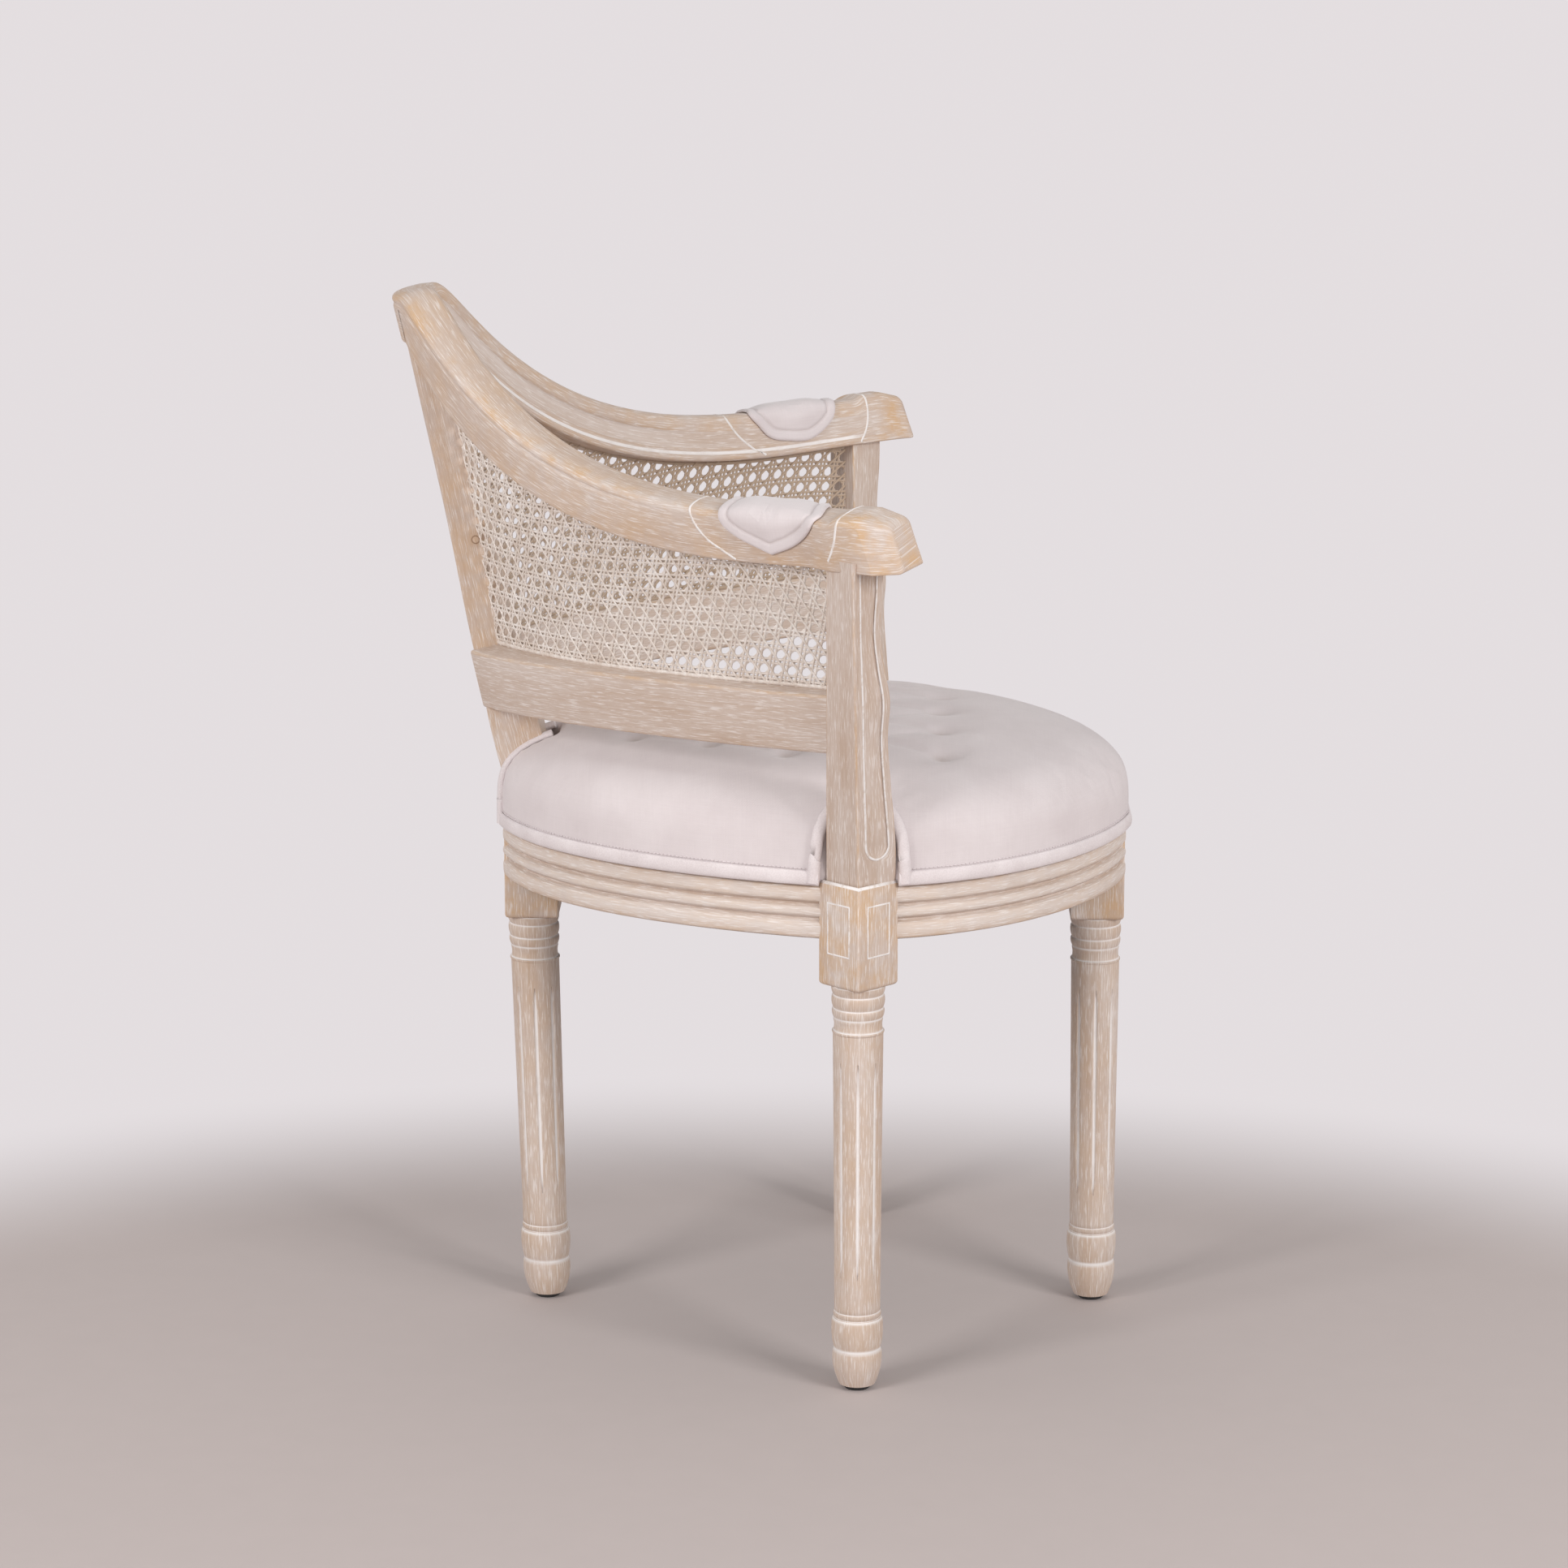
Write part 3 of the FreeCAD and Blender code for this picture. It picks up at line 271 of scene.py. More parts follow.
def weaveGroup():
    # Plain weave: warp and weft ridges that take turns on top, with slubby threads
    tree, given, gives = newGroup("plainWeave", [
        ("Vector", "NodeSocketVector", None), ("Threads", "NodeSocketFloat", 1000.0)],
        [("Thread", "NodeSocketFloat"), ("Slub", "NodeSocketFloat")])
    split = tree.nodes.new("ShaderNodeSeparateXYZ")
    tree.links.new(given["Vector"], split.inputs[0])
    half = times(tree, given["Threads"], math.pi)
    waves = [mathNode(tree, "SINE", times(tree, split.outputs[k], half)) for k in (0, 1)]
    warp, weft = [mathNode(tree, "ABSOLUTE", wave) for wave in waves]
    turn = mathNode(tree, "GREATER_THAN", times(tree, waves[0], waves[1]), 0.0)
    other = mathNode(tree, "SUBTRACT", 1.0, turn)
    ridge = plus(tree, times(tree, warp, turn), times(tree, weft, other))
    tree.links.new(ridge, gives["Thread"])
    slubs = [noiseNode(tree, stretched(tree, given["Vector"], scale), 1.0, 3)
             for scale in ((30, 900, 1), (900, 30, 1))]
    tree.links.new(times(tree, plus(tree, *slubs), 0.5), gives["Slub"])
    return tree


limedGrain = grainGroup()
plainWeave = weaveGroup()

woodTones = {
    "brown": (0.495, 0.360, 0.270), "pale": (0.665, 0.580, 0.530), "fleck": (0.800, 0.740, 0.705),
    "wax": (0.840, 0.805, 0.790), "thinWax": (0.66, 0.57, 0.50), "worn": (0.600, 0.405, 0.245),
    "bareDark": (0.36, 0.22, 0.12), "bareLight": (0.62, 0.44, 0.28),
}
# Cloth tones; fold is the painted shade colour for the tuft pits and pad seams
clothTones = {
    "shade": (0.655, 0.590, 0.597), "light": (0.750, 0.690, 0.698), "fold": (0.50, 0.43, 0.41),
    "bandShade": (0.665, 0.597, 0.602), "bandLight": (0.800, 0.738, 0.746),
}
caneTones = {"shade": (0.640, 0.545, 0.475), "light": (0.860, 0.810, 0.770), "pithAndShade": (0.460, 0.350, 0.260)}
# Knot on the right face of the rear post
knot = {
    "place": (-0.0215, 0.2285, 0.6295), "radius": 0.0030, "ring": (0.0008, 0.0002), "stain": 0.010,
    "tone": (0.50, 0.31, 0.17), "dark": (0.22, 0.12, 0.06),
}


def limedWood():
    material, tree, shader = newMaterial("limedWood", 0.58)
    grain = placedGroup(tree, limedGrain, {
        "Vector": uvCoords(tree, "grain"), "Streaks": 1.2, "Clouds": 1.4, "Flecks": 0.7})
    colour = mixColour(tree, grain["Lime"], woodTones["brown"], woodTones["pale"])
    patch = noiseNode(tree, objectCoords(tree), 38, 5, 0.65)
    wear = times(tree, attributeValue(tree, "wear"), ranged(tree, patch, 0.40, 0.62), clamp=True)
    colour = mixColour(tree, wear, colour, woodTones["worn"])
    colour = mixColour(tree, grain["Fleck"], colour, woodTones["fleck"])
    rubbed = ranged(tree, patch, 0.25, 0.50, 0.45, 1.0)
    wax = times(tree, attributeValue(tree, "wax"), rubbed, clamp=True)
    colour = mixColour(tree, wax, colour, woodTones["wax"])
    away = distanceFrom(tree, knot["place"])
    stain = ranged(tree, away, knot["stain"], knot["radius"], 0.0, 0.5)
    colour = mixColour(tree, stain, colour, knot["tone"])
    ring = mathNode(tree, "ABSOLUTE", mathNode(tree, "SUBTRACT", away, knot["radius"]))
    colour = mixColour(tree, ranged(tree, ring, *knot["ring"], 0.0, 0.8), colour, knot["dark"])
    tree.links.new(ranged(tree, grain["Lime"], 0.0, 1.0, 0.50, 0.70), shader.inputs["Roughness"])
    surfaced(tree, shader, colour, grain["Height"], 0.35, 0.0004)
    return material


def waxLine():
    material, tree, shader = newMaterial("waxLine", 0.75)
    patch = noiseNode(tree, objectCoords(tree), 140, 4, 0.6)
    colour = mixColour(tree, ranged(tree, patch, 0.30, 0.50), woodTones["thinWax"], woodTones["wax"])
    surfaced(tree, shader, colour, patch, 0.3, 0.0003)
    return material


def innerWood():
    material, tree, shader = newMaterial("innerWood", 0.7)
    grain = noiseNode(tree, stretched(tree, objectCoords(tree), (14, 90, 90)), 1.0, 5, 0.6, 0.4)
    colour = mixColour(tree, grain, woodTones["bareDark"], woodTones["bareLight"])
    surfaced(tree, shader, colour, grain, 0.2, 0.0004)
    return material


def linen():
    material, tree, shader = newMaterial("linen", 0.85)
    shader.inputs["Sheen Weight"].default_value = 0.25
    shader.inputs["Sheen Roughness"].default_value = 0.5
    weave = placedGroup(tree, plainWeave, {"Vector": uvCoords(tree, "weave"), "Threads": 1100.0})
    cloud = noiseNode(tree, objectCoords(tree), 22, 4)
    tone = weighed(tree, weave["Slub"], cloud, 0.4)
    colour = mixColour(tree, ranged(tree, tone, 0.30, 0.70), clothTones["shade"], clothTones["light"])
    # The crease mark is painted shade: darker cloth in the tuft pits and along the pad seams
    crease = times(tree, attributeValue(tree, "crease"), 0.8, clamp=True)
    colour = mixColour(tree, crease, colour, clothTones["fold"])
    surfaced(tree, shader, colour, weave["Thread"], 0.18, 0.0003)
    return material


def piping():
    # Folded bands and bindings: a fuzz of fibre over soft clouds
    material, tree, shader = newMaterial("piping", 0.85)
    shader.inputs["Sheen Weight"].default_value = 0.25
    fibre = noiseNode(tree, objectCoords(tree), 900, 3)
    cloud = noiseNode(tree, objectCoords(tree), 40, 3)
    tone = weighed(tree, fibre, cloud, 0.5)
    colour = mixColour(tree, ranged(tree, tone, 0.35, 0.65), clothTones["bandShade"], clothTones["bandLight"])
    surfaced(tree, shader, colour, fibre, 0.25, 0.0004)
    return material


def caneFibre():
    material, tree, shader = newMaterial("caneFibre", 0.55)
    split = noiseNode(tree, objectCoords(tree), 260, 3)
    stain = noiseNode(tree, objectCoords(tree), 34, 4)
    tone = weighed(tree, split, stain, 0.55)
    colour = mixColour(tree, ranged(tree, tone, 0.36, 0.64), caneTones["shade"], caneTones["light"])
    # Inner side of the cane darkened: partly its duller pith, partly painted shade for the shadowed inside of
    # the back
    colour = mixColour(tree, attributeValue(tree, "pithAndShade"), colour, caneTones["pithAndShade"])
    surfaced(tree, shader, colour, split, 0.3, 0.0003)
    return material


def speckled(name, dark, light, scale, roughness, metallic=0.0):
    material, tree, shader = newMaterial(name, roughness)
    shader.inputs["Metallic"].default_value = metallic
    fleck = noiseNode(tree, objectCoords(tree), scale, 4)
    colour = mixColour(tree, ranged(tree, fleck, 0.3, 0.7), dark, light)
    surfaced(tree, shader, colour, fleck, 0.15, 0.0003)
    return material


woodFinish = limedWood()
waxFinish = waxLine()
innerFinish = innerWood()
linenFinish = linen()
pipingFinish = piping()
caneFinish = caneFibre()
dustFinish = speckled("dustCloth", (0.015, 0.015, 0.016), (0.05, 0.05, 0.052), 600, 0.95)
glideFinish = speckled("glidePlastic", (0.012, 0.012, 0.013), (0.035, 0.034, 0.034), 260, 0.45)
steelFinish = speckled("screwSteel", (0.42, 0.40, 0.37), (0.62, 0.60, 0.57), 300, 0.35, 1.0)
print("finishes made")


# Mesh helpers

def newShape():
    return {"points": [], "faces": [], "uv": [], "wax": [], "wear": []}


def addSweep(shape, rings, waxMarks=None, wearMarks=None, seed=0.0):
    # Skin through matching rings; U follows the length and V the girth, both in metres
    count = len(rings[0])
    first = len(shape["points"])
    middles = [sum(ring, Vector()) / count for ring in rings]
    runs = runLengths(middles)
    widest = max(rings, key=lambda ring: sum((ring[j] - ring[j - 1]).length for j in range(count)))
    girth = runLengths([*widest, widest[0]])
    for k, ring in enumerate(rings):
        shape["points"] += ring
        for j in range(count):
            for name, marks in (("wax", waxMarks), ("wear", wearMarks)):
                mark = 0.0 if marks is None else marks[k][j] if isinstance(marks[0], list) else marks[j]
                shape[name].append(mark)
    for k in range(len(rings) - 1):
        low = first + k * count
        for j in range(count):
            n = (j + 1) % count
            shape["faces"].append((low + j, low + n, low + count + n, low + count + j))
            u0, u1, v0, v1 = runs[k] + seed, runs[k + 1] + seed, girth[j] + seed, girth[j + 1] + seed
            shape["uv"].append(((u0, v0), (u0, v1), (u1, v1), (u1, v0)))
    for k in (0, len(rings) - 1):
        ring, low = rings[k], first + k * count
        shape["faces"].append(tuple(range(low, low + count)))
        across = (ring[count // 4] - ring[0]).normalized()
        up = (ring[count // 2] - ring[0]).normalized()
        shape["uv"].append([((p - ring[0]).dot(across) * 0.3 + seed, (p - ring[0]).dot(up) + seed)
                            for p in ring])


def faceOutward(mesh):
    edit = bmesh.new()
    edit.from_mesh(mesh)
    bmesh.ops.recalc_face_normals(edit, faces=edit.faces)
    edit.to_mesh(mesh)
    edit.free()


def finishShape(shape, name, material, side=1, sharp=38.0, uvName="grain"):
    mesh = bpy.data.meshes.new(name)
    points = [(p.x * side, p.y + shiftY, p.z) for p in shape["points"]]
    mesh.from_pydata(points, [], shape["faces"])
    layer = mesh.uv_layers.new(name=uvName)
    flat = [value for corners in shape["uv"] for pair in corners for value in pair]
    layer.data.foreach_set("uv", flat)
    for label in ("wax", "wear"):
        mesh.attributes.new(label, "FLOAT", "POINT").data.foreach_set("value", shape[label])
    faceOutward(mesh)
    mesh.shade_smooth()
    mesh.set_sharp_from_angle(angle=math.radians(sharp))
    mesh.materials.append(material)
    return linked(name, mesh)


def swept(name, rings, wax, wear, seed, side=1, sharp=38.0):
    shape = newShape()
    addSweep(shape, rings, wax, wear, seed)
    return finishShape(shape, name, woodFinish, side, sharp)


def linked(name, data):
    piece = bpy.data.objects.new(name, data)
    bpy.context.scene.collection.objects.link(piece)
    return piece


def carried(piece, slot, *nodes):
    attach(piece, "root")
    if nodes:
        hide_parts(*nodes)
    return piece


def sideName(side):
    return "left" if side > 0 else "right"


def roundedOutline(corners, radius, arcSteps):
    # Each corner becomes a short curve; corners are (across, up) or Vectors
    points = []
    corners = [Vector(corner) for corner in corners]
    for k, corner in enumerate(corners):
        before = corners[k - 1] - corner
        after = corners[(k + 1) % len(corners)] - corner
        a = corner + before.normalized() * min(radius, before.length * 0.45)
        b = corner + after.normalized() * min(radius, after.length * 0.45)
        for s in spread(0.0, 1.0, arcSteps):
            points.append(a * (1 - s) ** 2 + corner * (2 * s * (1 - s)) + b * s * s)
    return points


def onSection(origin, across, up, outline):
    return [origin + across * p[0] + up * p[1] for p in outline]


def smoothTable(table, value):
    # Cubic through (place, value) rows with sloped joints
    places = [row[0] for row in table]
    levels = [row[1] for row in table]
    slopes = np.gradient(levels, places)
    k = min(max(int(np.searchsorted(places, value)) - 1, 0), len(places) - 2)
    gap = places[k + 1] - places[k]
    s = min(1.0, max(0.0, (value - places[k]) / gap))
    return ((2 * s ** 3 - 3 * s ** 2 + 1) * levels[k] + (s ** 3 - 2 * s ** 2 + s) * gap * slopes[k]
            + (3 * s ** 2 - 2 * s ** 3) * levels[k + 1] + (s ** 3 - s ** 2) * gap * slopes[k + 1])


# Ribbons along a path

def ribbonTree():
    tree, given, gives = newGroup("ribbonAlongPath", [
        ("Geometry", "NodeSocketGeometry", None), ("Width", "NodeSocketFloat", 0.002),
        ("Thickness", "NodeSocketFloat", 0.001), ("Sides", "NodeSocketInt", 6),
        ("Material", "NodeSocketMaterial", None)], [("Geometry", "NodeSocketGeometry")], "GeometryNodeTree")

    def node(kind, **links):
        made = tree.nodes.new(kind)
        for label, value in links.items():
            feed(tree, made.inputs[label.replace("_", " ")], value)
        return made

    face = node("GeometryNodeInputNamedAttribute", Name="face")
    face.data_type = "FLOAT_VECTOR"
    path = node("GeometryNodeMeshToCurve", Mesh=given["Geometry"])
    aimed = node("GeometryNodeSetCurveNormal", Curve=path.outputs[0])
    aimed.mode = "FREE"
    tree.links.new(face.outputs["Attribute"], aimed.inputs["Normal"])
    circle = node("GeometryNodeCurvePrimitiveCircle", Resolution=given["Sides"], Radius=0.5)
    size = node("ShaderNodeCombineXYZ", X=given["Thickness"], Y=given["Width"], Z=1.0)
    section = node("GeometryNodeTransform", Geometry=circle.outputs[0], Scale=size.outputs[0])
    skin = node("GeometryNodeCurveToMesh", Curve=aimed.outputs[0], Profile_Curve=section.outputs[0],
                Fill_Caps=True)
    smooth = node("GeometryNodeSetShadeSmooth", Geometry=skin.outputs[0])
    whole = node("GeometryNodeRealizeInstances", Geometry=smooth.outputs[0])
    dressed = node("GeometryNodeSetMaterial", Geometry=whole.outputs[0], Material=given["Material"])
    tree.links.new(dressed.outputs[0], gives["Geometry"])
    return tree


ribbonAlongPath = ribbonTree()


def ribbons(name, paths, width, thickness, sides, material, side=1):
    # paths holds lists of (point, facing) pairs; a path that ends where it starts is closed
    points, edges, faces = [], [], []
    for path in paths:
        closed = len(path) > 2 and (path[0][0] - path[-1][0]).length < 1e-6
        body = path[:-1] if closed else path
        first = len(points)
        for point, facing in body:
            points.append((point.x * side, point.y + shiftY, point.z))
            faces += [facing.x * side, facing.y, facing.z]
        edges += [(first + k, first + k + 1) for k in range(len(body) - 1)]
        if closed:
            edges.append((first + len(body) - 1, first))
    mesh = bpy.data.meshes.new(name + "Path")
    mesh.from_pydata(points, edges, [])
    mesh.attributes.new("face", "FLOAT_VECTOR", "POINT").data.foreach_set("vector", faces)
    carrier = linked(name + "Path", mesh)
    modifier = carrier.modifiers.new("ribbon", "NODES")
    modifier.node_group = ribbonAlongPath
    values = {"Width": width, "Thickness": thickness, "Sides": sides, "Material": material}
    for item in ribbonAlongPath.interface.items_tree:
        if item.in_out == "INPUT" and item.name in values:
            modifier[item.identifier] = values[item.name]
    seen = carrier.evaluated_get(bpy.context.evaluated_depsgraph_get())
    made = bpy.data.meshes.new_from_object(seen)
    carrier.modifiers.remove(modifier)
    bpy.data.objects.remove(carrier)
    faceOutward(made)
    made.name = name
    return linked(name, made)


def joined(name, pieces):
    edit = bmesh.new()
    for piece in pieces:
        edit.from_mesh(piece.data)
    mesh = bpy.data.meshes.new(name)
    edit.to_mesh(mesh)
    edit.free()
    for material in pieces[0].data.materials:
        mesh.materials.append(material)
    for piece in pieces:
        bpy.data.objects.remove(piece)
    return linked(name, mesh)


# Legs

leg = {
    "blockBottom": 0.322, "sideTop": 0.4025, "rearTop": 0.437, "frontTop": 0.399, "edge": 0.0014,
    "blockRound": 0.0034, "blockEdge": 0.0016, "fluteCount": 8, "fluteLow": 0.094, "fluteHigh": 0.262,
    "fluteWidth": 0.0036, "fluteDepth": 0.0014, "fluteTaper": 2.88, "waxFrom": 0.3, "waxGain": 2.2,
    "shaftWear": 0.25, "blockWear": 0.8, "cant": 1.5, "floor": 0.004, "grooveDepth": 0.0007,
    # Angles of the facets from the middle of each flute
    "facets": (-0.16, -0.12, -0.09, -0.06, -0.03, 0.0, 0.03, 0.06, 0.09, 0.12, 0.16, 0.24, 0.33, 0.45, 0.54),
    # (radius, height, bulge, steps) from the toe up; each joint is a waxed groove
    "turning": ((0.01865, 0.0330, 0.0022, 10), (0.01935, 0.0575, 0.00125, 12), (0.0180, 0.0580, 0.0, 2),
                (0.0180, 0.0630, 0.0008, 6)),
    "toeRadius": 0.014, "shaftLow": (0.01775, 0.0636), "shaftHigh": (0.0193, 0.2846), "shaftSteps": 64,
    "collar": ((0.0196, 0.2870, 0.0006, 5), (0.01945, 0.2970, -0.0008, 7), (0.0197, 0.3045, 0.0008, 7),
               (0.0198, 0.3150, 0.0010, 9), (0.0205, 0.3220, 0.0006, 7)),
    "panelSide": 0.010, "panelTop": 0.015, "panelBottom": 0.026, "panelLine": 0.0021, "lineThick": 0.0006,
    "brim": 0.0034, "brimThick": 0.0018, "brimInset": 0.0012,
}


def turnedProfile():
    # Rows of (radius, height, wax)
    rows = [(leg["toeRadius"], leg["floor"], 0.0)]

    def addRuns(runs):
        for radius, height, bulge, count in runs:
            startRadius, startHeight, _ = rows[-1]
            for k in range(1, count + 1):
                s = k / count
                r = startRadius + (radius - startRadius) * s + bulge * 4 * s * (1 - s)
                rows.append((r, startHeight + (height - startHeight) * s, 0.0))
            r, z, _ = rows[-1]
            rows[-1] = (r - leg["grooveDepth"], z, 1.0)

    addRuns(leg["turning"])
    for s in spread(0.0, 1.0, leg["shaftSteps"]):
        r = leg["shaftLow"][0] + (leg["shaftHigh"][0] - leg["shaftLow"][0]) * s
        z = leg["shaftLow"][1] + (leg["shaftHigh"][1] - leg["shaftLow"][1]) * s
        rows.append((r, z, 0.0))
    addRuns(leg["collar"])
    return rows


def fluteShare(angle, radius, height):
    # 0 on the round, 1 at the bottom of a pointed flute
    span = (height - leg["fluteLow"]) / (leg["fluteHigh"] - leg["fluteLow"])
    if not 0.0 < span < 1.0:
        return 0.0
    half = leg["fluteWidth"] / 2 * min(1.0, leg["fluteTaper"] * math.sqrt(span * (1 - span)))
    pitch = 2 * math.pi / leg["fluteCount"]
    away = abs((angle + pitch / 2) % pitch - pitch / 2) * radius
    return max(0.0, 1 - (away / half) ** 2) if half > 0 else 0.0


def legAngles():
    pitch = 2 * math.pi / leg["fluteCount"]
    return [pitch * k + offset for k in range(leg["fluteCount"]) for offset in leg["facets"]]


def buildLeg(name, x, y, turn, topZ, cant, seed):
    shape = newShape()
    angles = legAngles()
    lean = math.tan(math.radians(cant))
    rings, wax, wear = [], [], []
    for radius, height, mark in turnedProfile():
        shares = [fluteShare(angle, radius, height) for angle in angles]
        offset = Vector((x, y - (leg["blockBottom"] - height) * lean, 0))
        rings.append([offset + Vector((math.cos(a) * (radius - leg["fluteDepth"] * s),
                                       math.sin(a) * (radius - leg["fluteDepth"] * s), height))
                      for a, s in zip(angles, shares)])
        wax.append([max(mark, min(1.0, max(0.0, s - leg["waxFrom"]) * leg["waxGain"])) for s in shares])
        wear.append([leg["shaftWear"] * (1 - mark)] * len(angles))
    addSweep(shape, rings, wax, wear, seed)
    edge, low = leg["edge"], leg["blockRound"]
    rows = [(leg["blockBottom"] + low * (1 - math.sin(a)), low * (1 - math.cos(a)))
            for a in spread(math.pi / 2, 0.0, 6)]
    rows += [(topZ - edge, 0.0), (topZ - edge * 0.4, edge * 0.35), (topZ, edge)]
    rings, wear = [], []
    for z, inset in rows:
        side = blockHalf - inset
        corners = [(side, side), (-side, side), (-side, -side), (side, -side)]
        square = roundedOutline(corners, leg["blockEdge"], 4)
        rings.append([Vector((x + p[0] * math.cos(turn) - p[1] * math.sin(turn),
                              y + p[0] * math.sin(turn) + p[1] * math.cos(turn), z)) for p in square])
        wear.append([leg["blockWear"]] * len(square))
    addSweep(shape, rings, None, wear, seed + 1.7)
    return finishShape(shape, name, woodFinish)


legPlaces = {
    "leftLeg": ("left_leg", plan["legX"], plan["legY"], math.pi / 4, leg["sideTop"], 0.0),
    "rightLeg": ("right_leg", -plan["legX"], plan["legY"], math.pi / 4, leg["sideTop"], 0.0),
    "rearLeg": ("rear_leg", 0.0, plan["rearLegY"], 0.0, leg["rearTop"], leg["cant"]),
    "frontLeg": ("front_leg", 0.0, plan["frontLegY"], 0.0, leg["frontTop"], 0.0),
}
for k, (name, (node, x, y, turn, topZ, cant)) in enumerate(legPlaces.items()):
    carried(buildLeg(name, x, y, turn, topZ, cant, 3.1 * k), "limed_wood", node)


def panelPaths(x, y, turn, topZ):
    wide = blockHalf - leg["panelSide"]
    low = leg["blockBottom"] + leg["panelBottom"]
    high = topZ - leg["panelTop"]
    paths = []
    for quarter in range(4):
        angle = turn + quarter * math.pi / 2
        facing = Vector((math.cos(angle), math.sin(angle), 0))
        across = Vector((-facing.y, facing.x, 0))
        middle = Vector((x, y, 0)) + facing * blockHalf
        corners = [(-wide, low), (wide, low), (wide, high), (-wide, high), (-wide, low)]
        paths.append([(middle + across * a + Vector((0, 0, z)), facing) for a, z in corners])
    return paths


def brimPath(x, y, turn, topZ):
    # Wax that fills the ledge round the foot of an arm post
    reach = (blockHalf - leg["brimInset"]) * math.sqrt(2)
    path = []
    for k in range(5):
        angle = turn + math.pi / 4 + k * math.pi / 2
        corner = Vector((math.cos(angle), math.sin(angle), 0))
        facing = (corner + Vector((0, 0, 1))).normalized()
        path.append((Vector((x, y, topZ)) + corner * reach, facing))
    return path


for side in (1, -1):
    place = (plan["legX"], plan["legY"], math.pi / 4, leg["sideTop"])
    panels, brim = panelPaths(*place), [brimPath(*place)]
    lines = [ribbons("panelLines", panels, leg["panelLine"], leg["lineThick"], 6, waxFinish, side),
             ribbons("brim", brim, leg["brim"], leg["brimThick"], 8, waxFinish, side)]
    carried(joined(sideName(side) + "BlockLines", lines), "limed_wood")
print("legs made")


# Seat rails

seatRail = {
    "bottomZ": 0.3575, "height": 0.0415, "thickness": 0.026, "grooves": (0.0150, 0.0265),
    "grooveWidth": 0.0019, "grooveDepth": 0.0036, "crown": 0.0011, "edge": 0.0016, "faceSteps": 64,
    "stations": 46, "overrun": 0.012, "wax": 0.55, "waxFrom": 0.35, "edgeWear": 0.55, "reedWear": 0.35,
    "wearFall": 3, "backWear": 0.2,
}


def reededOutline():
    # Outer face of two grooves and three soft reeds, then the plain back
    h = seatRail["height"]
    bounds = [0.0, *seatRail["grooves"], h]
    outline, wax, wear = [], [], []
    for u in spread(0.0, h, seatRail["faceSteps"]):
        k = max(j for j in range(3) if u >= bounds[j] or j == 0)
        share = (u - bounds[k]) / (bounds[k + 1] - bounds[k])
        n = seatRail["crown"] * 4 * share * (1 - share)
        cut = sum(bell(u - g, seatRail["grooveWidth"]) for g in seatRail["grooves"])
        ease = max(0.0, seatRail["edge"] - min(u, h - u)) / seatRail["edge"]
        rounding = seatRail["edge"] * (1 - math.sqrt(1 - ease ** 2))
        outline.append((n - seatRail["grooveDepth"] * cut - rounding, u))
        # The wax mark whitens each reed's crown: a painted highlight along the reeds, which leaves the
        # grooves darker
        wax.append(seatRail["wax"] * max(0.0, 4 * share * (1 - share) - seatRail["waxFrom"]))
        worn = seatRail["reedWear"] * max(0.0, 1 - cut * seatRail["wearFall"])
        wear.append(max(seatRail["edgeWear"] * ease, worn))
    for corner in ((-seatRail["thickness"], h), (-seatRail["thickness"], 0.0)):
        outline.append(corner)
        wax.append(0.0)
        wear.append(seatRail["backWear"])
    return outline, wax, wear


def buildSeatRail(name, curve, side, seed):
    outline, wax, wear = reededOutline()
    rings = []
    for t in spread(-seatRail["overrun"], 1 + seatRail["overrun"], seatRail["stations"]):
        origin = planPoint(curve, t) + Vector((0, 0, seatRail["bottomZ"]))
        rings.append(onSection(origin, planOutward(curve, t), Vector((0, 0, 1)), outline))
    return swept(name, rings, wax, wear, seed, side, 50)


for side in (1, -1):
    hand = sideName(side)
    for k, (end, curve) in enumerate((("rear", rearRailCurve), ("front", frontRailCurve))):
        rail = buildSeatRail(end + hand.capitalize() + "SeatRail", curve, side, 11.0 + 2.3 * k + side)
        carried(rail, "limed_wood", end + "_" + hand + "_seat_rail")
print("seat rails made")


# Back frame

rearPost = {
    "width": 0.043, "footDepth": 0.042, "headDepth": 0.0275, "setback": 0.0018, "rise": 0.005, "edge": 0.0016,
    "footInset": 0.0008, "cover": 0.0015, "coverRange": (0.02, 0.10, 0.35, 0.65), "wear": 0.5,
    "stations": (0.0, 0.004, *spread(0.02, 1.0, 24)),
}
armPost = {
    "backSide": 0.0355, "headX": 0.304, "headZ": 0.6735, "topZ": 0.6645, "edge": 0.0022, "stations": 90,
    "channelZ": 0.424, "channelMargin": 0.0078, "channelDepth": 0.0013, "lip": 0.0015, "lineWidth": 0.0021,
    "lineThick": 0.0007, "lineSteps": 60, "turnFrom": 0.15, "turnSteps": 18, "leastHalf": 0.12,
    "deepBy": 0.35, "lipShare": 0.4, "hollow": 1.25,
    "frontSides": ((0.4025, 0.0405), (0.4307, 0.0405), (0.4834, 0.0348), (0.5217, 0.0312), (0.552, 0.0332),
                   (0.578, 0.0272), (0.603, 0.0226), (0.6413, 0.0250), (0.6735, 0.0256)),
    "arrisShift": 0.0055,
}
backRail = {
    "height": 0.048, "thickness": 0.024, "rearZ": 0.494, "sideZ": 0.506, "lean": 13.0, "edge": 0.0028,
    "stations": 46, "start": -0.02, "end": 1.055,
}


def rearPostLine():
    # Back edge of the post, from the rear block to just inside the bow's underside
    across, up = bowAxes(0.0)
    foot = Vector((0, plan["rearLegY"] + blockHalf, leg["rearTop"]))
    head = bowPlace(0.0) + across * (bow["width"] / 2 - rearPost["setback"]) - up * bow["height"]
    return foot, head + (head - foot).normalized() * rearPost["rise"]


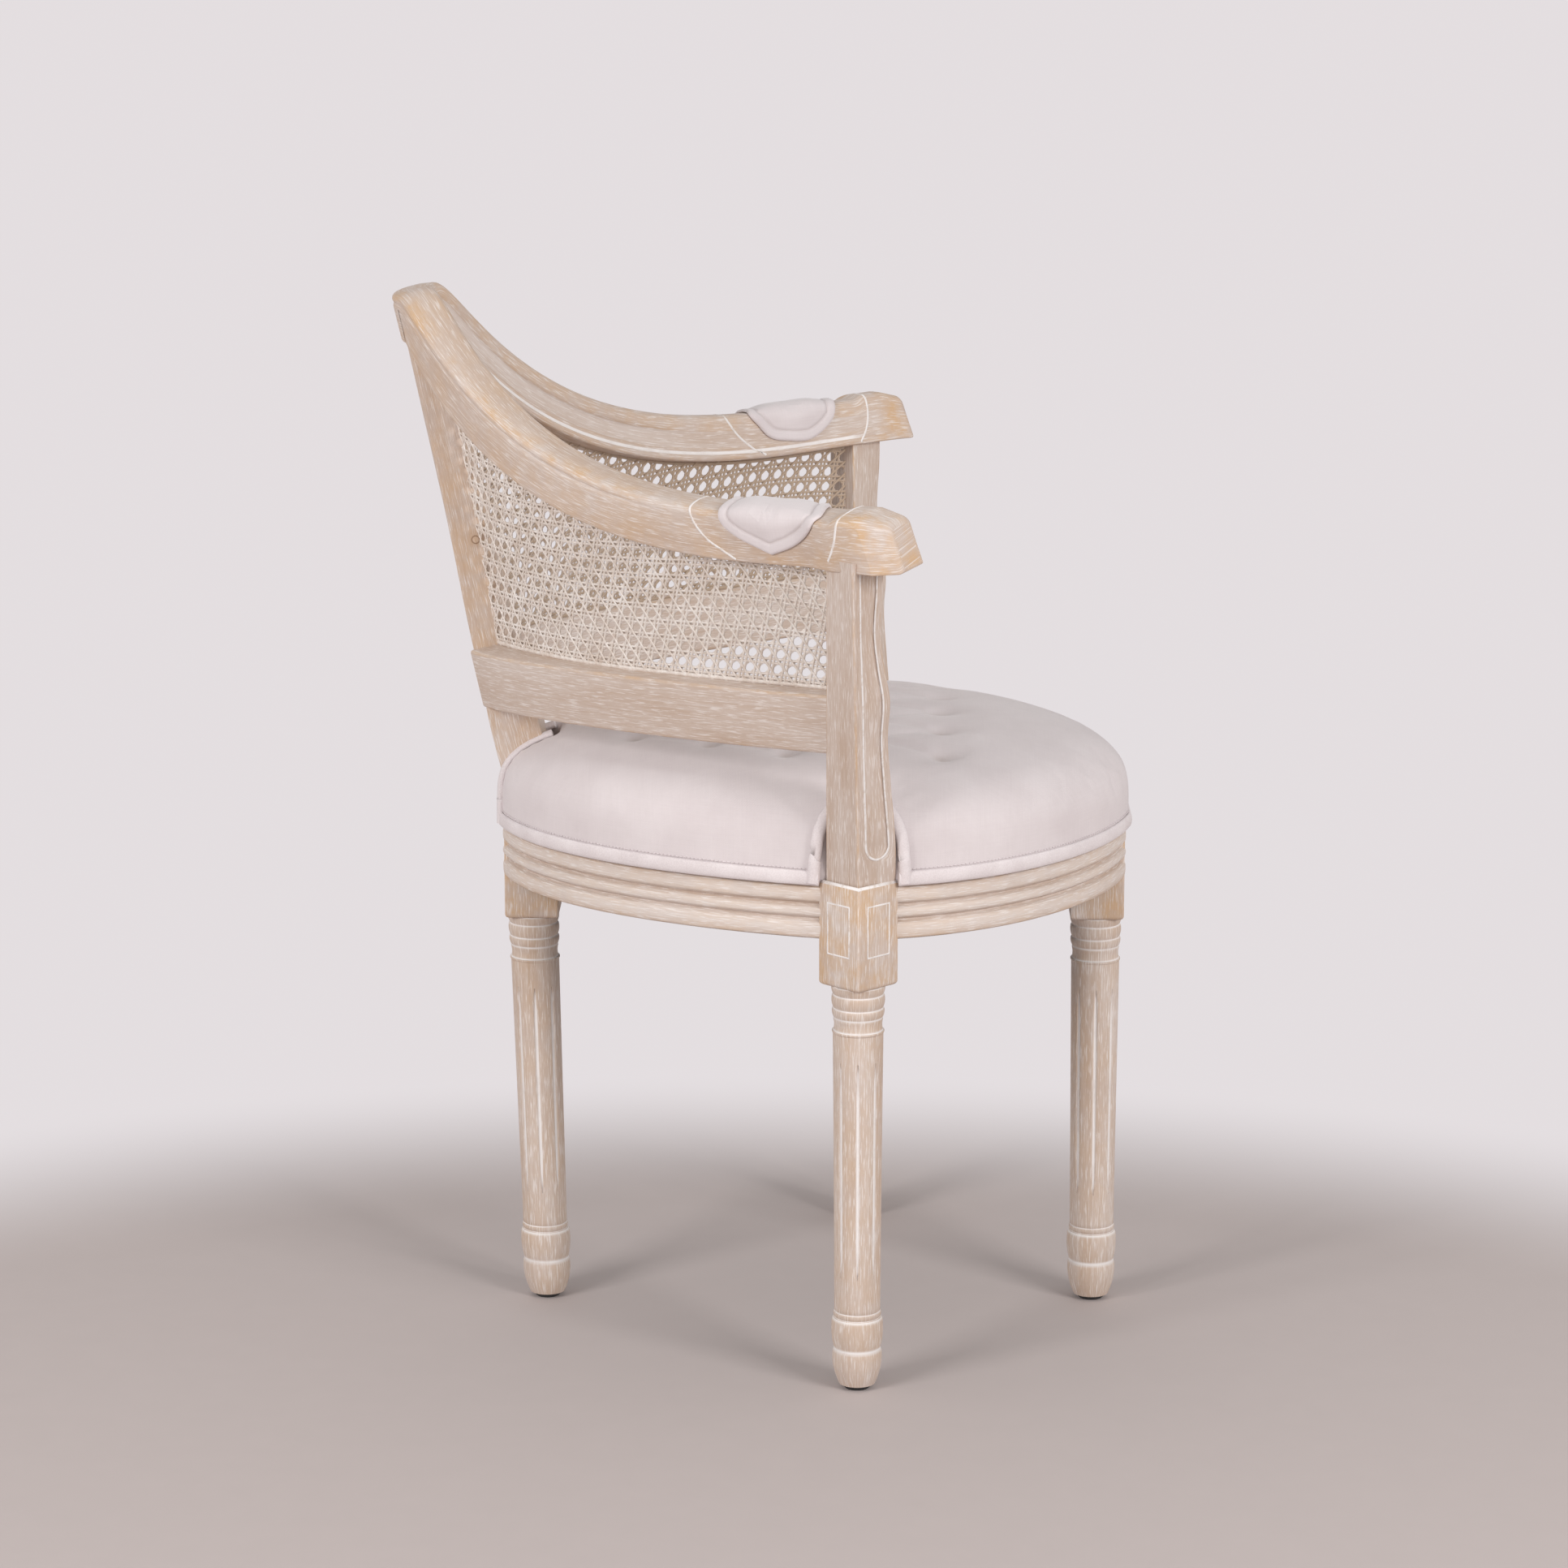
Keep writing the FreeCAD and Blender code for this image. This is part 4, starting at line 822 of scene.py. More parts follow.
def buildRearPost():
    foot, head = rearPostLine()
    half = rearPost["width"] / 2
    fall = bowPlace(0.0).y - bowPlace(half / 3 / plan["bow"][0][1]).y
    low, full, ebb, none = rearPost["coverRange"]
    rings, wear = [], []
    for s in rearPost["stations"]:
        cover = rearPost["cover"] * smoothStep(low, full, s) * (1 - smoothStep(ebb, none, s))
        back = foot + (head - foot) * s + Vector((0, cover, 0))
        depth = rearPost["footDepth"] + (rearPost["headDepth"] - rearPost["footDepth"]) * s
        inset = rearPost["footInset"] if s == 0 else 0.0
        wide, rear, front = half - inset, back.y - inset, back.y - depth + inset
        slope = rear - fall * s
        corners = [(wide, slope), (0, rear), (-wide, slope), (-wide, front), (wide, front)]
        outline = roundedOutline(corners, rearPost["edge"], 4)
        rings.append([Vector((p[0], p[1], back.z)) for p in outline])
        wear.append([rearPost["wear"]] * len(outline))
    return swept("rearPost", rings, None, wear, 21.0)


def armPostMiddle(z):
    share = (z - leg["sideTop"]) / (bow["armTopZ"] - bow["height"] - leg["sideTop"])
    return Vector((plan["legX"] + (armPost["headX"] - plan["legX"]) * share, plan["legY"], z))


def armPostCorners(z):
    # Outer, rear, inner and front corner of the post at one height
    rear = armPost["backSide"] / math.sqrt(2)
    front = smoothTable(armPost["frontSides"], z) / math.sqrt(2)
    middle = armPostMiddle(z)
    back = armPost["arrisShift"] * (z - leg["sideTop"]) / (armPost["headZ"] - leg["sideTop"])
    offsets = ((rear, back, 0), (0, rear, 0), (-rear, back, 0), (0, -front, 0))
    return [middle + Vector(offset) for offset in offsets]


def channelFrame(z):
    # Middle, direction, facing and half width of the channel on the front outer face
    outer, _, _, front = armPostCorners(z)
    along = (outer - front).normalized()
    outward = Vector((along.y, -along.x, 0))
    return (outer + front) / 2, along, outward, (outer - front).length / 2 - armPost["channelMargin"]


def buildArmPost(side):
    rings = []
    marks = [0.0, 0.6, 0.9, 0.6, 0.0] * 4 + [0.1] * 5
    for z in spread(leg["sideTop"], armPost["topZ"], armPost["stations"]):
        middle, along, outward, half = channelFrame(z)
        reach = min(1.0, max(0.0, (z - armPost["channelZ"]) / half))
        half *= max(armPost["leastHalf"], math.sqrt(1 - (1 - reach) ** 2))
        deep = outward * (armPost["channelDepth"] * smoothStep(0.0, armPost["deepBy"], reach))
        lip = min(armPost["lip"], half * armPost["lipShare"])
        ring = roundedOutline(armPostCorners(z), armPost["edge"], 5)
        ring += [middle - along * half, middle - along * (half - lip) - deep,
                 middle - deep * armPost["hollow"], middle + along * (half - lip) - deep,
                 middle + along * half]
        rings.append(ring)
    return swept(sideName(side) + "ArmPost", rings, None, marks, 31.0 + side, side)


def channelLine():
    # Waxed line round the channel: down one edge, round its lower end and up the other
    endHalf = channelFrame(armPost["channelZ"])[3]
    centreZ = armPost["channelZ"] + endHalf
    first = armPost["turnFrom"]
    places = [(z, -1.0) for z in spread(armPost["topZ"], centreZ, armPost["lineSteps"])]
    for turn in spread(first, math.pi - first, armPost["turnSteps"]):
        places.append((centreZ - endHalf * math.sin(turn), -math.cos(turn)))
    places += [(z, 1.0) for z in spread(centreZ, armPost["topZ"], armPost["lineSteps"])]
    path = []
    for z, share in places:
        middle, along, outward, half = channelFrame(z)
        path.append((middle + along * (half * share), outward))
    return path


def backRailPlace(t):
    height = backRail["rearZ"] + (backRail["sideZ"] - backRail["rearZ"]) * t
    return planPoint(backRailCurve, t) + Vector((0, 0, height))


def buildBackRail(side):
    w, h = backRail["thickness"], backRail["height"]
    outline = roundedOutline([(-w, 0), (0, 0), (0, h), (-w, h)], backRail["edge"], 5)
    rings = []
    for t in spread(backRail["start"], backRail["end"], backRail["stations"]):
        across, up = leaningAxes(backRailCurve, t, backRail["lean"], 0.0)
        rings.append(onSection(backRailPlace(t), across, up, outline))
    marks = [0.0, 0.5, 0.7, 0.5, 0.0] * 4
    return swept(sideName(side) + "BackRail", rings, None, marks, 41.0 + side, side)


# Arm bow

bow = {
    "crestTopZ": 0.8255, "armTopZ": 0.6925, "endLift": 0.0045, "sweep": (0.15, 0.90), "bias": 0.6,
    "liftStart": 0.80, "width": 0.032, "height": 0.038, "crestLean": 13.0, "armLean": 9.0, "bead": 0.0065,
    "quirk": 0.0014, "crown": 0.0012, "edge": 0.0035, "coveDepth": 0.0026, "coveTop": 0.012,
    "coveBottom": 0.028, "innerBead": 0.0065, "innerRoll": 0.0016, "innerQuirk": 0.0012, "fade": (0.60, 0.74),
    "beadFade": (0.925, 0.950), "plainShare": 0.08, "soften": 0.0016, "lowerEdge": 0.001,
    "endSlant": 0.011, "endRound": 0.0040, "endBevel": 0.020, "bevelSide": 0.50, "bevelTop": 0.0050,
    "knuckle": 0.085, "knuckleStep": (0.938, 0.952), "flare": 0.0080, "flareStep": (0.895, 0.948),
    "crestCover": 0.0010, "coverFade": (0.08, 0.16),
    "stations": (*spread(0.0, 0.93, 106), *spread(0.936, 0.962, 14)),
    "bevelShares": (0.0, 0.03, *spread(0.12, 0.75, 6)), "roundShares": spread(0.0, 1.0, 7),
    # Carved lines across the arm: (t, girth from the middle of the top, outwards positive)
    "lineWidth": 0.0021, "lineThick": 0.0007,
    "rearLine": ((0.8165, 0.050), (0.7995, 0.0435), (0.7813, 0.0365), (0.7665, 0.0255), (0.7600, 0.0150),
                 (0.7570, 0.0), (0.7560, -0.0150), (0.7620, -0.0225), (0.7750, -0.0330), (0.7930, -0.0430),
                 (0.8080, -0.0500)),
    "frontLine": ((0.9370, 0.050), (0.9464, 0.0400), (0.9517, 0.0270), (0.9530, 0.0150), (0.9525, 0.0),
                  (0.9520, -0.0150), (0.9533, -0.0270), (0.9515, -0.0370), (0.9470, -0.0440),
                  (0.9390, -0.0500)),
}


def bowTopZ(t):
    fall = smoothStep(*bow["sweep"], t + bow["bias"] * t * (1 - t))
    return (bow["crestTopZ"] + (bow["armTopZ"] - bow["crestTopZ"]) * fall
            + bow["endLift"] * smoothStep(bow["liftStart"], 1.0, t))


def bowSlope(t):
    small = 0.002
    run = (planPoint(bowCurve, t + small) - planPoint(bowCurve, t - small)).length
    return (bowTopZ(t + small) - bowTopZ(t - small)) / run


def bowAxes(t):
    lean = bow["crestLean"] + (bow["armLean"] - bow["crestLean"]) * smoothStep(0.0, bow["fade"][1], t)
    return leaningAxes(bowCurve, t, lean, bowSlope(t) if t > 0 else 0.0)


def bowPlace(t):
    return planPoint(bowCurve, t) + Vector((0, 0, bowTopZ(t)))


def bowOutline(t):
    # Corners of the section with a wax and a wear mark each
    m = bow["plainShare"] + (1 - bow["plainShare"]) * (1 - smoothStep(*bow["fade"], t))
    w, h, e, bead = bow["width"] / 2, bow["height"], bow["edge"], bow["bead"]
    low = bow["lowerEdge"]
    cove = -w + bow["coveDepth"] * m
    b = 1 - smoothStep(*bow["beadFade"], t)
    roll = -w - bow["innerRoll"] * b
    lip = -h + bow["innerBead"]
    d = bow["coveDepth"]
    return [
        (-w, -h, 0, 0.5), (w - low, -h, 0, 0.5), (w, -h + low, 0, 0.5),
        (w, -bead - bow["quirk"] * 1.6, 0, 0.3), (w - bow["quirk"] * m, -bead, 0.15 * m, 0.3),
        (w, -bead * 0.65, 0, 0.7), (w - bead * 0.25, -bead * 0.12, 0, 1.0),
        (w - bead, bow["crown"] * 0.5, 0, 0.8), (0, bow["crown"], 0, 0.2),
        (-w + e, 0, 0, 0.4), (-w, -e, 0, 0.5),
        (-w, -bow["coveTop"], 0, 0.5), (cove, -bow["coveTop"] - d, 0.3 * m, 0),
        (cove, -bow["coveBottom"] + d, 0.2 * m, 0), (-w, -bow["coveBottom"], 0, 0.3),
        (-w + bow["innerQuirk"] * b, lip, b, 0), (roll, lip - bow["innerBead"] * 0.3, 0, 0.4),
        (roll, lip - bow["innerBead"] * 0.7, 0, 0.5),
    ]


def bowSection(t):
    # Softened section, fuller outwards at the crest and the arm post, higher past the front line
    grow = 1 + bow["knuckle"] * smoothStep(*bow["knuckleStep"], t)
    flare = bow["flare"] * smoothStep(*bow["flareStep"], t)
    flare += bow["crestCover"] * (1 - smoothStep(*bow["coverFade"], t))
    flare *= 2 / bow["width"]
    low = -bow["height"]
    outline = roundedOutline([(n, u) for n, u, _, _ in bowOutline(t)], bow["soften"], 3)
    return [Vector((p[0] + max(p[0], 0.0) * flare, low + (p[1] - low) * grow)) for p in outline]


def buildArmRail(side):
    rings, wax, wear = [], [], []
    lastAxes = bowAxes(1.0)
    along = lastAxes[0].cross(lastAxes[1])
    along = along if along.y < 0 else -along
    slant = bow["endSlant"] / bow["height"]

    def addRing(t, shrink, reach=None, bevel=0.0):
        corners = bowOutline(t)
        wide, middle = bow["width"] / 2, -bow["height"] / 2
        outline = [(p[0] * (1 - shrink / wide), middle + (p[1] - middle) * (1 + shrink / middle))
                   for p in bowSection(t)]
        outline = [(p[0] * (1 - bow["bevelSide"] * bevel) if p[0] > 0 else p[0],
                    p[1] - bow["bevelTop"] * bevel * (1 + p[1] / bow["height"])) for p in outline]
        across, up = bowAxes(t)
        ring = onSection(bowPlace(t), across, up, outline)
        if reach is not None:
            ring = [p + along * (reach - slant * q[1]) for p, q in zip(ring, outline)]
        rings.append(ring)
        wax.append([value for corner in corners for value in [float(corner[2])] * 3])
        wear.append([value for corner in corners for value in [float(corner[3])] * 3])

    for t in bow["stations"]:
        addRing(t, 0.0)
    plain = len(rings)
    for share in bow["bevelShares"]:
        addRing(1.0, 0.0, -bow["endBevel"] * (1 - share), share)
    for share in bow["roundShares"]:
        turn = share * math.pi / 2
        reach = bow["endRound"] * (1 - math.sin(turn))
        addRing(1.0, bow["endRound"] * (1 - math.cos(turn)), -reach, 1 - reach / bow["endBevel"])
    for k in range(plain, len(rings)):
        wear[k] = [1.0] * len(wear[k])
    return swept(sideName(side) + "ArmRail", rings, wax, wear, 51.0 + 2 * side, side, 50)


armSkin = {"from": 0.72, "to": 0.97, "stations": 76, "girth": 0.056, "steps": 225}


def skinTable():
    # Points and facings on the arm, by t along it and girth round it
    girths = np.linspace(-armSkin["girth"], armSkin["girth"], armSkin["steps"])
    points = []
    for t in np.linspace(armSkin["from"], armSkin["to"], armSkin["stations"]):
        outline = bowSection(t)
        top = max(range(len(outline)), key=lambda k: outline[k][1] - abs(outline[k][0]) * 0.05)
        order = [outline[(top - k) % len(outline)] for k in range(len(outline) + 1)]
        away = runLengths(order)
        around = np.where(girths < 0, girths + away[-1], girths)
        across, up = bowAxes(t)
        flat = [np.interp(around, away, [p[axis] for p in order]) for axis in (0, 1)]
        points.append([bowPlace(t) + across * n + up * u for n, u in zip(*flat)])
    points = np.array(points)
    facings = np.cross(np.gradient(points, axis=1), np.gradient(points, axis=0))
    middles = points.mean(axis=1, keepdims=True)
    facings *= np.sign((facings * (points - middles)).sum(axis=2, keepdims=True))
    facings /= np.linalg.norm(facings, axis=2, keepdims=True)
    return points, facings


skinPoints, skinFacings = skinTable()


def onArm(t, girth, lift=0.0):
    # Point and facing on the arm, blended from the four nearest places of the table
    along = (t - armSkin["from"]) / (armSkin["to"] - armSkin["from"])
    row = min(max(along, 0.0), 0.9999) * (armSkin["stations"] - 1)
    column = min(max(girth / armSkin["girth"] / 2 + 0.5, 0.0), 0.9999) * (armSkin["steps"] - 1)
    i, j = int(row), int(column)
    a, b = row - i, column - j

    def blended(table):
        return Vector((table[i, j] * (1 - a) + table[i + 1, j] * a) * (1 - b)
                      + (table[i, j + 1] * (1 - a) + table[i + 1, j + 1] * a) * b)

    facing = blended(skinFacings).normalized()
    return blended(skinPoints) + facing * lift, facing


def throughPoints(points, count):
    # Smooth open run through (t, girth) points, count places to each stretch
    ends = [2 * points[0] - points[1], *points, 2 * points[-1] - points[-2]]
    run = []
    for k in range(1, len(ends) - 2):
        a, b, c, d = ends[k - 1:k + 3]
        bend, twist = 2 * a - 5 * b + 4 * c - d, 3 * b - a - 3 * c + d
        for s in np.arange(count) / count:
            run.append(0.5 * (2 * b + (c - a) * s + bend * s ** 2 + twist * s ** 3))
    return run + [points[-1]]


def carvedLines():
    return [[onArm(*place) for place in throughPoints([np.array(row) for row in bow[name]], 10)]
            for name in ("rearLine", "frontLine")]


carried(buildRearPost(), "limed_wood", "rear_post")
for side in (1, -1):
    hand = sideName(side)
    carried(buildArmPost(side), "limed_wood", hand + "_arm_post")
    carried(buildBackRail(side), "limed_wood", hand + "_back_rail")
    carried(buildArmRail(side), "limed_wood", hand + "_arm_rail")
    channel, carved = [channelLine()], carvedLines()
    lines = [ribbons("channelLine", channel, armPost["lineWidth"], armPost["lineThick"], 6, waxFinish, side),
             ribbons("carvedLines", carved, bow["lineWidth"], bow["lineThick"], 6, waxFinish, side)]
    carried(joined(hand + "ArmLines", lines), "limed_wood")
print("back frame and arm bow made")


# Cane: pairs of upright and level strands, with single strands on both slants

cane = {
    "pitch": 0.0127, "pairGap": 0.0034, "strand": 0.0020, "slantStrand": 0.0021, "flat": 0.0013,
    "setback": 0.013, "rearSetback": 0.0205, "headIn": 0.011, "rearShare": 0.5, "tuck": 0.006, "start": -0.05,
    "end": 1.025, "top": (0.07, 0.94), "rise": 0.0006, "wave": 0.0003, "sheetSteps": 140, "levels": 80,
    "tallest": 0.34, "spline": 0.0034, "splineThick": 0.0024, "splineIn": 0.0016,
}


def caneSheet():
    # Foot points and rising directions of the sheet, and lengths along each level from the arm post
    shares = np.linspace(cane["start"], cane["end"], cane["sheetSteps"])
    feet, rises, talls = [], [], []
    for k in shares:
        across, up = leaningAxes(backRailCurve, k, backRail["lean"], 0.0)
        near = 1 - smoothStep(0.0, cane["rearShare"], k)
        setback = cane["setback"] + (cane["rearSetback"] - cane["setback"]) * near
        foot = backRailPlace(k) - across * setback + up * (backRail["height"] - cane["tuck"])
        t = cane["top"][0] + (cane["top"][1] - cane["top"][0]) * k
        bowAcross, bowUp = bowAxes(t)
        head = bowPlace(t) - bowUp * (bow["height"] - cane["tuck"]) - bowAcross * (cane["headIn"] * near)
        feet.append(foot)
        rises.append((head - foot).normalized())
        talls.append((head - foot).length)
    feet, rises = np.array(feet), np.array(rises)
    heights = np.linspace(0.0, cane["tallest"], cane["levels"])
    lengths = []
    for y in heights:
        line = (feet + rises * y)[::-1]
        lengths.append(np.concatenate([[0.0], np.cumsum(np.linalg.norm(np.diff(line, axis=0), axis=1))]))
    return {"shares": shares, "feet": feet, "rises": rises, "talls": np.array(talls), "heights": heights,
            "lengths": np.array(lengths)}


def cutAt(sheet, x, y):
    # Share along the panel of the point x from the arm post at height y
    level = np.clip(y / sheet["heights"][1], 0, len(sheet["heights"]) - 1.001)
    low = int(level)
    row = sheet["lengths"][low] * (1 - level + low) + sheet["lengths"][low + 1] * (level - low)
    if x > row[-1]:
        return None
    return float(np.interp(x, row, sheet["shares"][::-1]))


def sheetRow(sheet, label, k):
    return Vector([np.interp(k, sheet["shares"], sheet[label][:, j]) for j in range(3)])


def sheetPoint(sheet, k, y, lift):
    foot = sheetRow(sheet, "feet", k)
    rise = sheetRow(sheet, "rises", k).normalized()
    ahead = sheetRow(sheet, "feet", k - 0.01)
    facing = rise.cross(ahead - foot).normalized()
    facing = facing if facing.x + facing.y > 0 else -facing
    return foot + rise * y + facing * lift, facing


def strandRuns(sheet, places):
    # Splits a strand into the stretches that lie on the panel
    runs, run = [], []
    for x, y, lift in places:
        k = cutAt(sheet, x, y) if 0.0 <= y and x >= 0.0 else None
        if k is not None and y <= np.interp(k, sheet["shares"], sheet["talls"]):
            run.append(sheetPoint(sheet, k, y, lift))
        else:
            if len(run) > 1:
                runs.append(run)
            run = []
    return runs + ([run] if len(run) > 1 else [])


def caneStrands(sheet):
    p, half = cane["pitch"], cane["pairGap"] / 2
    step = p / 3
    wide = float(sheet["lengths"].max())
    tall = cane["tallest"]
    straight, slanted = [], []

    def wave(place, sign):
        return sign * cane["wave"] * math.cos(2 * math.pi * place / p)

    for i in range(int(wide / p) + 2):
        for offset in (-half, half):
            places = [(i * p + offset, y, wave(y, 1)) for y in np.arange(0.0, tall, step)]
            straight += strandRuns(sheet, places)
    for j in range(int(tall / p) + 2):
        for offset in (-half, half):
            places = [(x, j * p + offset, wave(x, -1)) for x in np.arange(0.0, wide, step)]
            straight += strandRuns(sheet, places)
    for n in range(-int(tall / p) - 1, int((wide + tall) / p) + 1):
        start = (n + 0.5) * p
        rising = [(start + y, y, cane["rise"] + wave(y, 1)) for y in np.arange(0.0, tall, step)]
        falling = [(start - y, y, -cane["rise"] + wave(y, -1)) for y in np.arange(0.0, tall, step)]
        slanted += strandRuns(sheet, rising) + strandRuns(sheet, falling)
    return straight, slanted


def splinePaths(sheet):
    # Reed that wedges the weave into its groove along the rail, the bow and the rear post
    edge = cane["tuck"] + cane["splineIn"]
    shares = spread(0.0, 1.0, 60)
    tops = [float(np.interp(k, sheet["shares"], sheet["talls"])) - edge for k in shares]
    return [[sheetPoint(sheet, k, edge, 0.0) for k in shares],
            [sheetPoint(sheet, k, top, 0.0) for k, top in zip(shares, tops)],
            [sheetPoint(sheet, cane["splineIn"] * 4, y, 0.0) for y in spread(edge, tops[0], 30)]]


def markPithAndShade(mesh):
    # The inner side of the panel is darker: partly the duller pith of split cane, partly painted shade for
    # the shadowed inside of the back seen through the weave
    marks = []
    for vertex in mesh.vertices:
        outward = Vector((vertex.co.x, vertex.co.y - shiftY, 0)).normalized()
        marks.append(smoothStep(-0.1, 0.5, -vertex.normal.dot(outward)))
    mesh.attributes.new("pithAndShade", "FLOAT", "POINT").data.foreach_set("value", marks)


sheet = caneSheet()
caneStraight, caneSlanted = caneStrands(sheet)
for side in (1, -1):
    hand = sideName(side)
    flat, splines = cane["flat"], splinePaths(sheet)
    strands = [ribbons(hand + "Cane", caneStraight, cane["strand"], flat, 6, caneFinish, side),
               ribbons(hand + "CaneSlants", caneSlanted, cane["slantStrand"], flat, 6, caneFinish, side),
               ribbons(hand + "Spline", splines, cane["spline"], cane["splineThick"], 8, caneFinish, side)]
    panel = carried(joined(hand + "CanePanel", strands), "cane", hand + "_cane_panel")
    markPithAndShade(panel.data)
print("cane woven")


# Seat cushion

cushion = {
    "lowZ": 0.3994, "sideZ": 0.422, "crownZ": 0.491, "bulge": 0.004, "fullness": 3.0, "angles": 160,
    "levels": 26, "shrink": 0.996, "voxel": 0.005,
    # Rise above lowZ and share of the reach, for the rings at the foot
    "foot": ((0.0, 0.985), (0.0020, 0.995), (0.0106, 0.999)),
    "tuftRows": (5, 4, 5, 4, 3), "tuftFrontY": -0.098, "tuftStep": 0.060, "tuftSpacing": 0.066,
    "tuftDepth": 0.0065, "tuftRadius": 0.0132, "creaseDepth": 0.0030, "creaseWidth": 0.007, "tuftFrom": 0.43,
    "tuftShade": 0.006, "creaseReach": 1.05, "crownEnd": 0.985, "roomDepth": 0.2,
    "pressure": 4.0, "cap": 0.007, "frames": 20, "heldBelow": 0.412, "heldBeside": 0.011, "heldTuft": 0.006,
    "rearGap": 0.0012, "postGap": 0.0006, "postZ": 0.460, "postFill": 0.006, "roomZ": (0.30, 0.60),
}


def seatReach():
    # Plan outline of the seat as reach for each angle
    points = []
    for curve, side, order in ((rearRailCurve, 1, 1), (frontRailCurve, 1, 1), (frontRailCurve, -1, -1),
                               (rearRailCurve, -1, -1)):
        run = [planPoint(curve, t) for t in spread(0.0, 1.0, 40)][::order]
        points += [Vector((p.x * side, p.y, 0)) for p in run]
    angles = np.unwrap([math.atan2(p.y, p.x) for p in points])
    order = np.argsort(angles)
    reaches = np.array([p.length for p in points])[order]
    angles = angles[order]
    return (np.concatenate([angles - 2 * math.pi, angles, angles + 2 * math.pi]),
            np.concatenate([reaches, reaches, reaches]))


outlineAngles, outlineReaches = seatReach()


def reachAt(angle):
    return float(np.interp(angle, outlineAngles, outlineReaches))


def tuftPlaces():
    places = []
    for row, count in enumerate(cushion["tuftRows"]):
        for k in range(count):
            places.append(Vector(((k - (count - 1) / 2) * cushion["tuftSpacing"],
                                  cushion["tuftFrontY"] + row * cushion["tuftStep"], 0)))
    return places


def tuftCreases(tufts):
    # Slanting folds between neighbouring tufts
    longest = cushion["creaseReach"] * math.hypot(cushion["tuftSpacing"] / 2, cushion["tuftStep"])
    return [(a, b) for k, a in enumerate(tufts) for b in tufts[k + 1:]
            if (a - b).length < longest and abs(a.y - b.y) > 0.01]


def nearCrease(point, crease):
    a, b = crease
    along = b - a
    share = min(1.0, max(0.0, (point - a).dot(along) / along.length_squared))
    return (point - a - along * share).length


def domePoint(angle, share, low):
    # share 0 at the crown, 1 at the widest side
    swell = 1 + cushion["bulge"] / plan["legX"]
    reach = reachAt(angle) * swell * share * cushion["shrink"]
    rise = (1 - share ** cushion["fullness"]) ** (1 / cushion["fullness"])
    return Vector((math.cos(angle) * reach, math.sin(angle) * reach,
                   low + (cushion["crownZ"] - low) * rise))


def buildCushionBlank():
    shape = newShape()
    angles = [2 * math.pi * k / cushion["angles"] for k in range(cushion["angles"])]
    rings = []
    for rise, inset in cushion["foot"]:
        ring = []
        for angle in angles:
            side = domePoint(angle, 1.0, cushion["sideZ"])
            ring.append(Vector((side.x * inset, side.y * inset, cushion["lowZ"] + rise)))
        rings.append(ring)
    for turn in spread(0.0, math.pi / 2 * cushion["crownEnd"], cushion["levels"]):
        share = math.cos(turn) ** (2 / cushion["fullness"])
        rings.append([domePoint(angle, share, cushion["sideZ"]) for angle in angles])
    addSweep(shape, rings)
    return finishShape(shape, "seatCushion", linenFinish, uvName="weave")


def boxCutter(name, corners, lowZ, highZ):
    mesh = bpy.data.meshes.new(name)
    count = len(corners)
    points = [(c[0], c[1] + shiftY, z) for z in (lowZ, highZ) for c in corners]
    faces = [tuple(range(count))[::-1], tuple(range(count, 2 * count))]
    faces += [(k, (k + 1) % count, (k + 1) % count + count, k + count) for k in range(count)]
    mesh.from_pydata(points, [], faces)
    return linked(name, mesh)


def applyModifiers(piece):
    seen = piece.evaluated_get(bpy.context.evaluated_depsgraph_get())
    mesh = bpy.data.meshes.new_from_object(seen)
    piece.modifiers.clear()
    piece.data = mesh


def postReach():
    # How far an arm post reaches to the rear and to the front within the cushion
    sides = armPost["backSide"], smoothTable(armPost["frontSides"], cushion["postZ"])
    return [side / math.sqrt(2) + cushion["postGap"] for side in sides]


def postRooms():
    # Plan corners of the spaces that the posts take out of the cushion
    rear, front = postReach()
    rooms = []
    for side in (1, -1):
        x, y = side * plan["legX"], plan["legY"]
        inner = x - side * (rear - cushion["postFill"])
        corners = [(x + side * 2 * rear, y), (x, y + rear), (inner, y), (x, y - front)]
        rooms.append(corners[::side])
    half = blockHalf + cushion["rearGap"]
    front = plan["rearLegY"] - half
    back = front + cushion["roomDepth"]
    rooms.append([(half, back), (-half, back), (-half, front), (half, front)])
    return rooms


def cutRooms(piece):
    cutters = [boxCutter("room", corners, *cushion["roomZ"]) for corners in postRooms()]
    for cutter in cutters:
        cut = piece.modifiers.new("room", "BOOLEAN")
        cut.operation = "DIFFERENCE"
        cut.solver = "EXACT"
        cut.object = cutter
    applyModifiers(piece)
    for cutter in cutters:
        bpy.data.objects.remove(cutter)


def roomDistance(x, y):
    # Least distance from a plan point to the posts
    rear, front = postReach()
    reach = rear if y > plan["legY"] else front
    arm = (abs(abs(x) - plan["legX"]) + abs(y - plan["legY"]) - reach) / math.sqrt(2)
    return min(arm, max(abs(x) - blockHalf, plan["rearLegY"] - blockHalf - y))


puff = {"stiffness": 25, "bending": 0.4, "quality": 5}


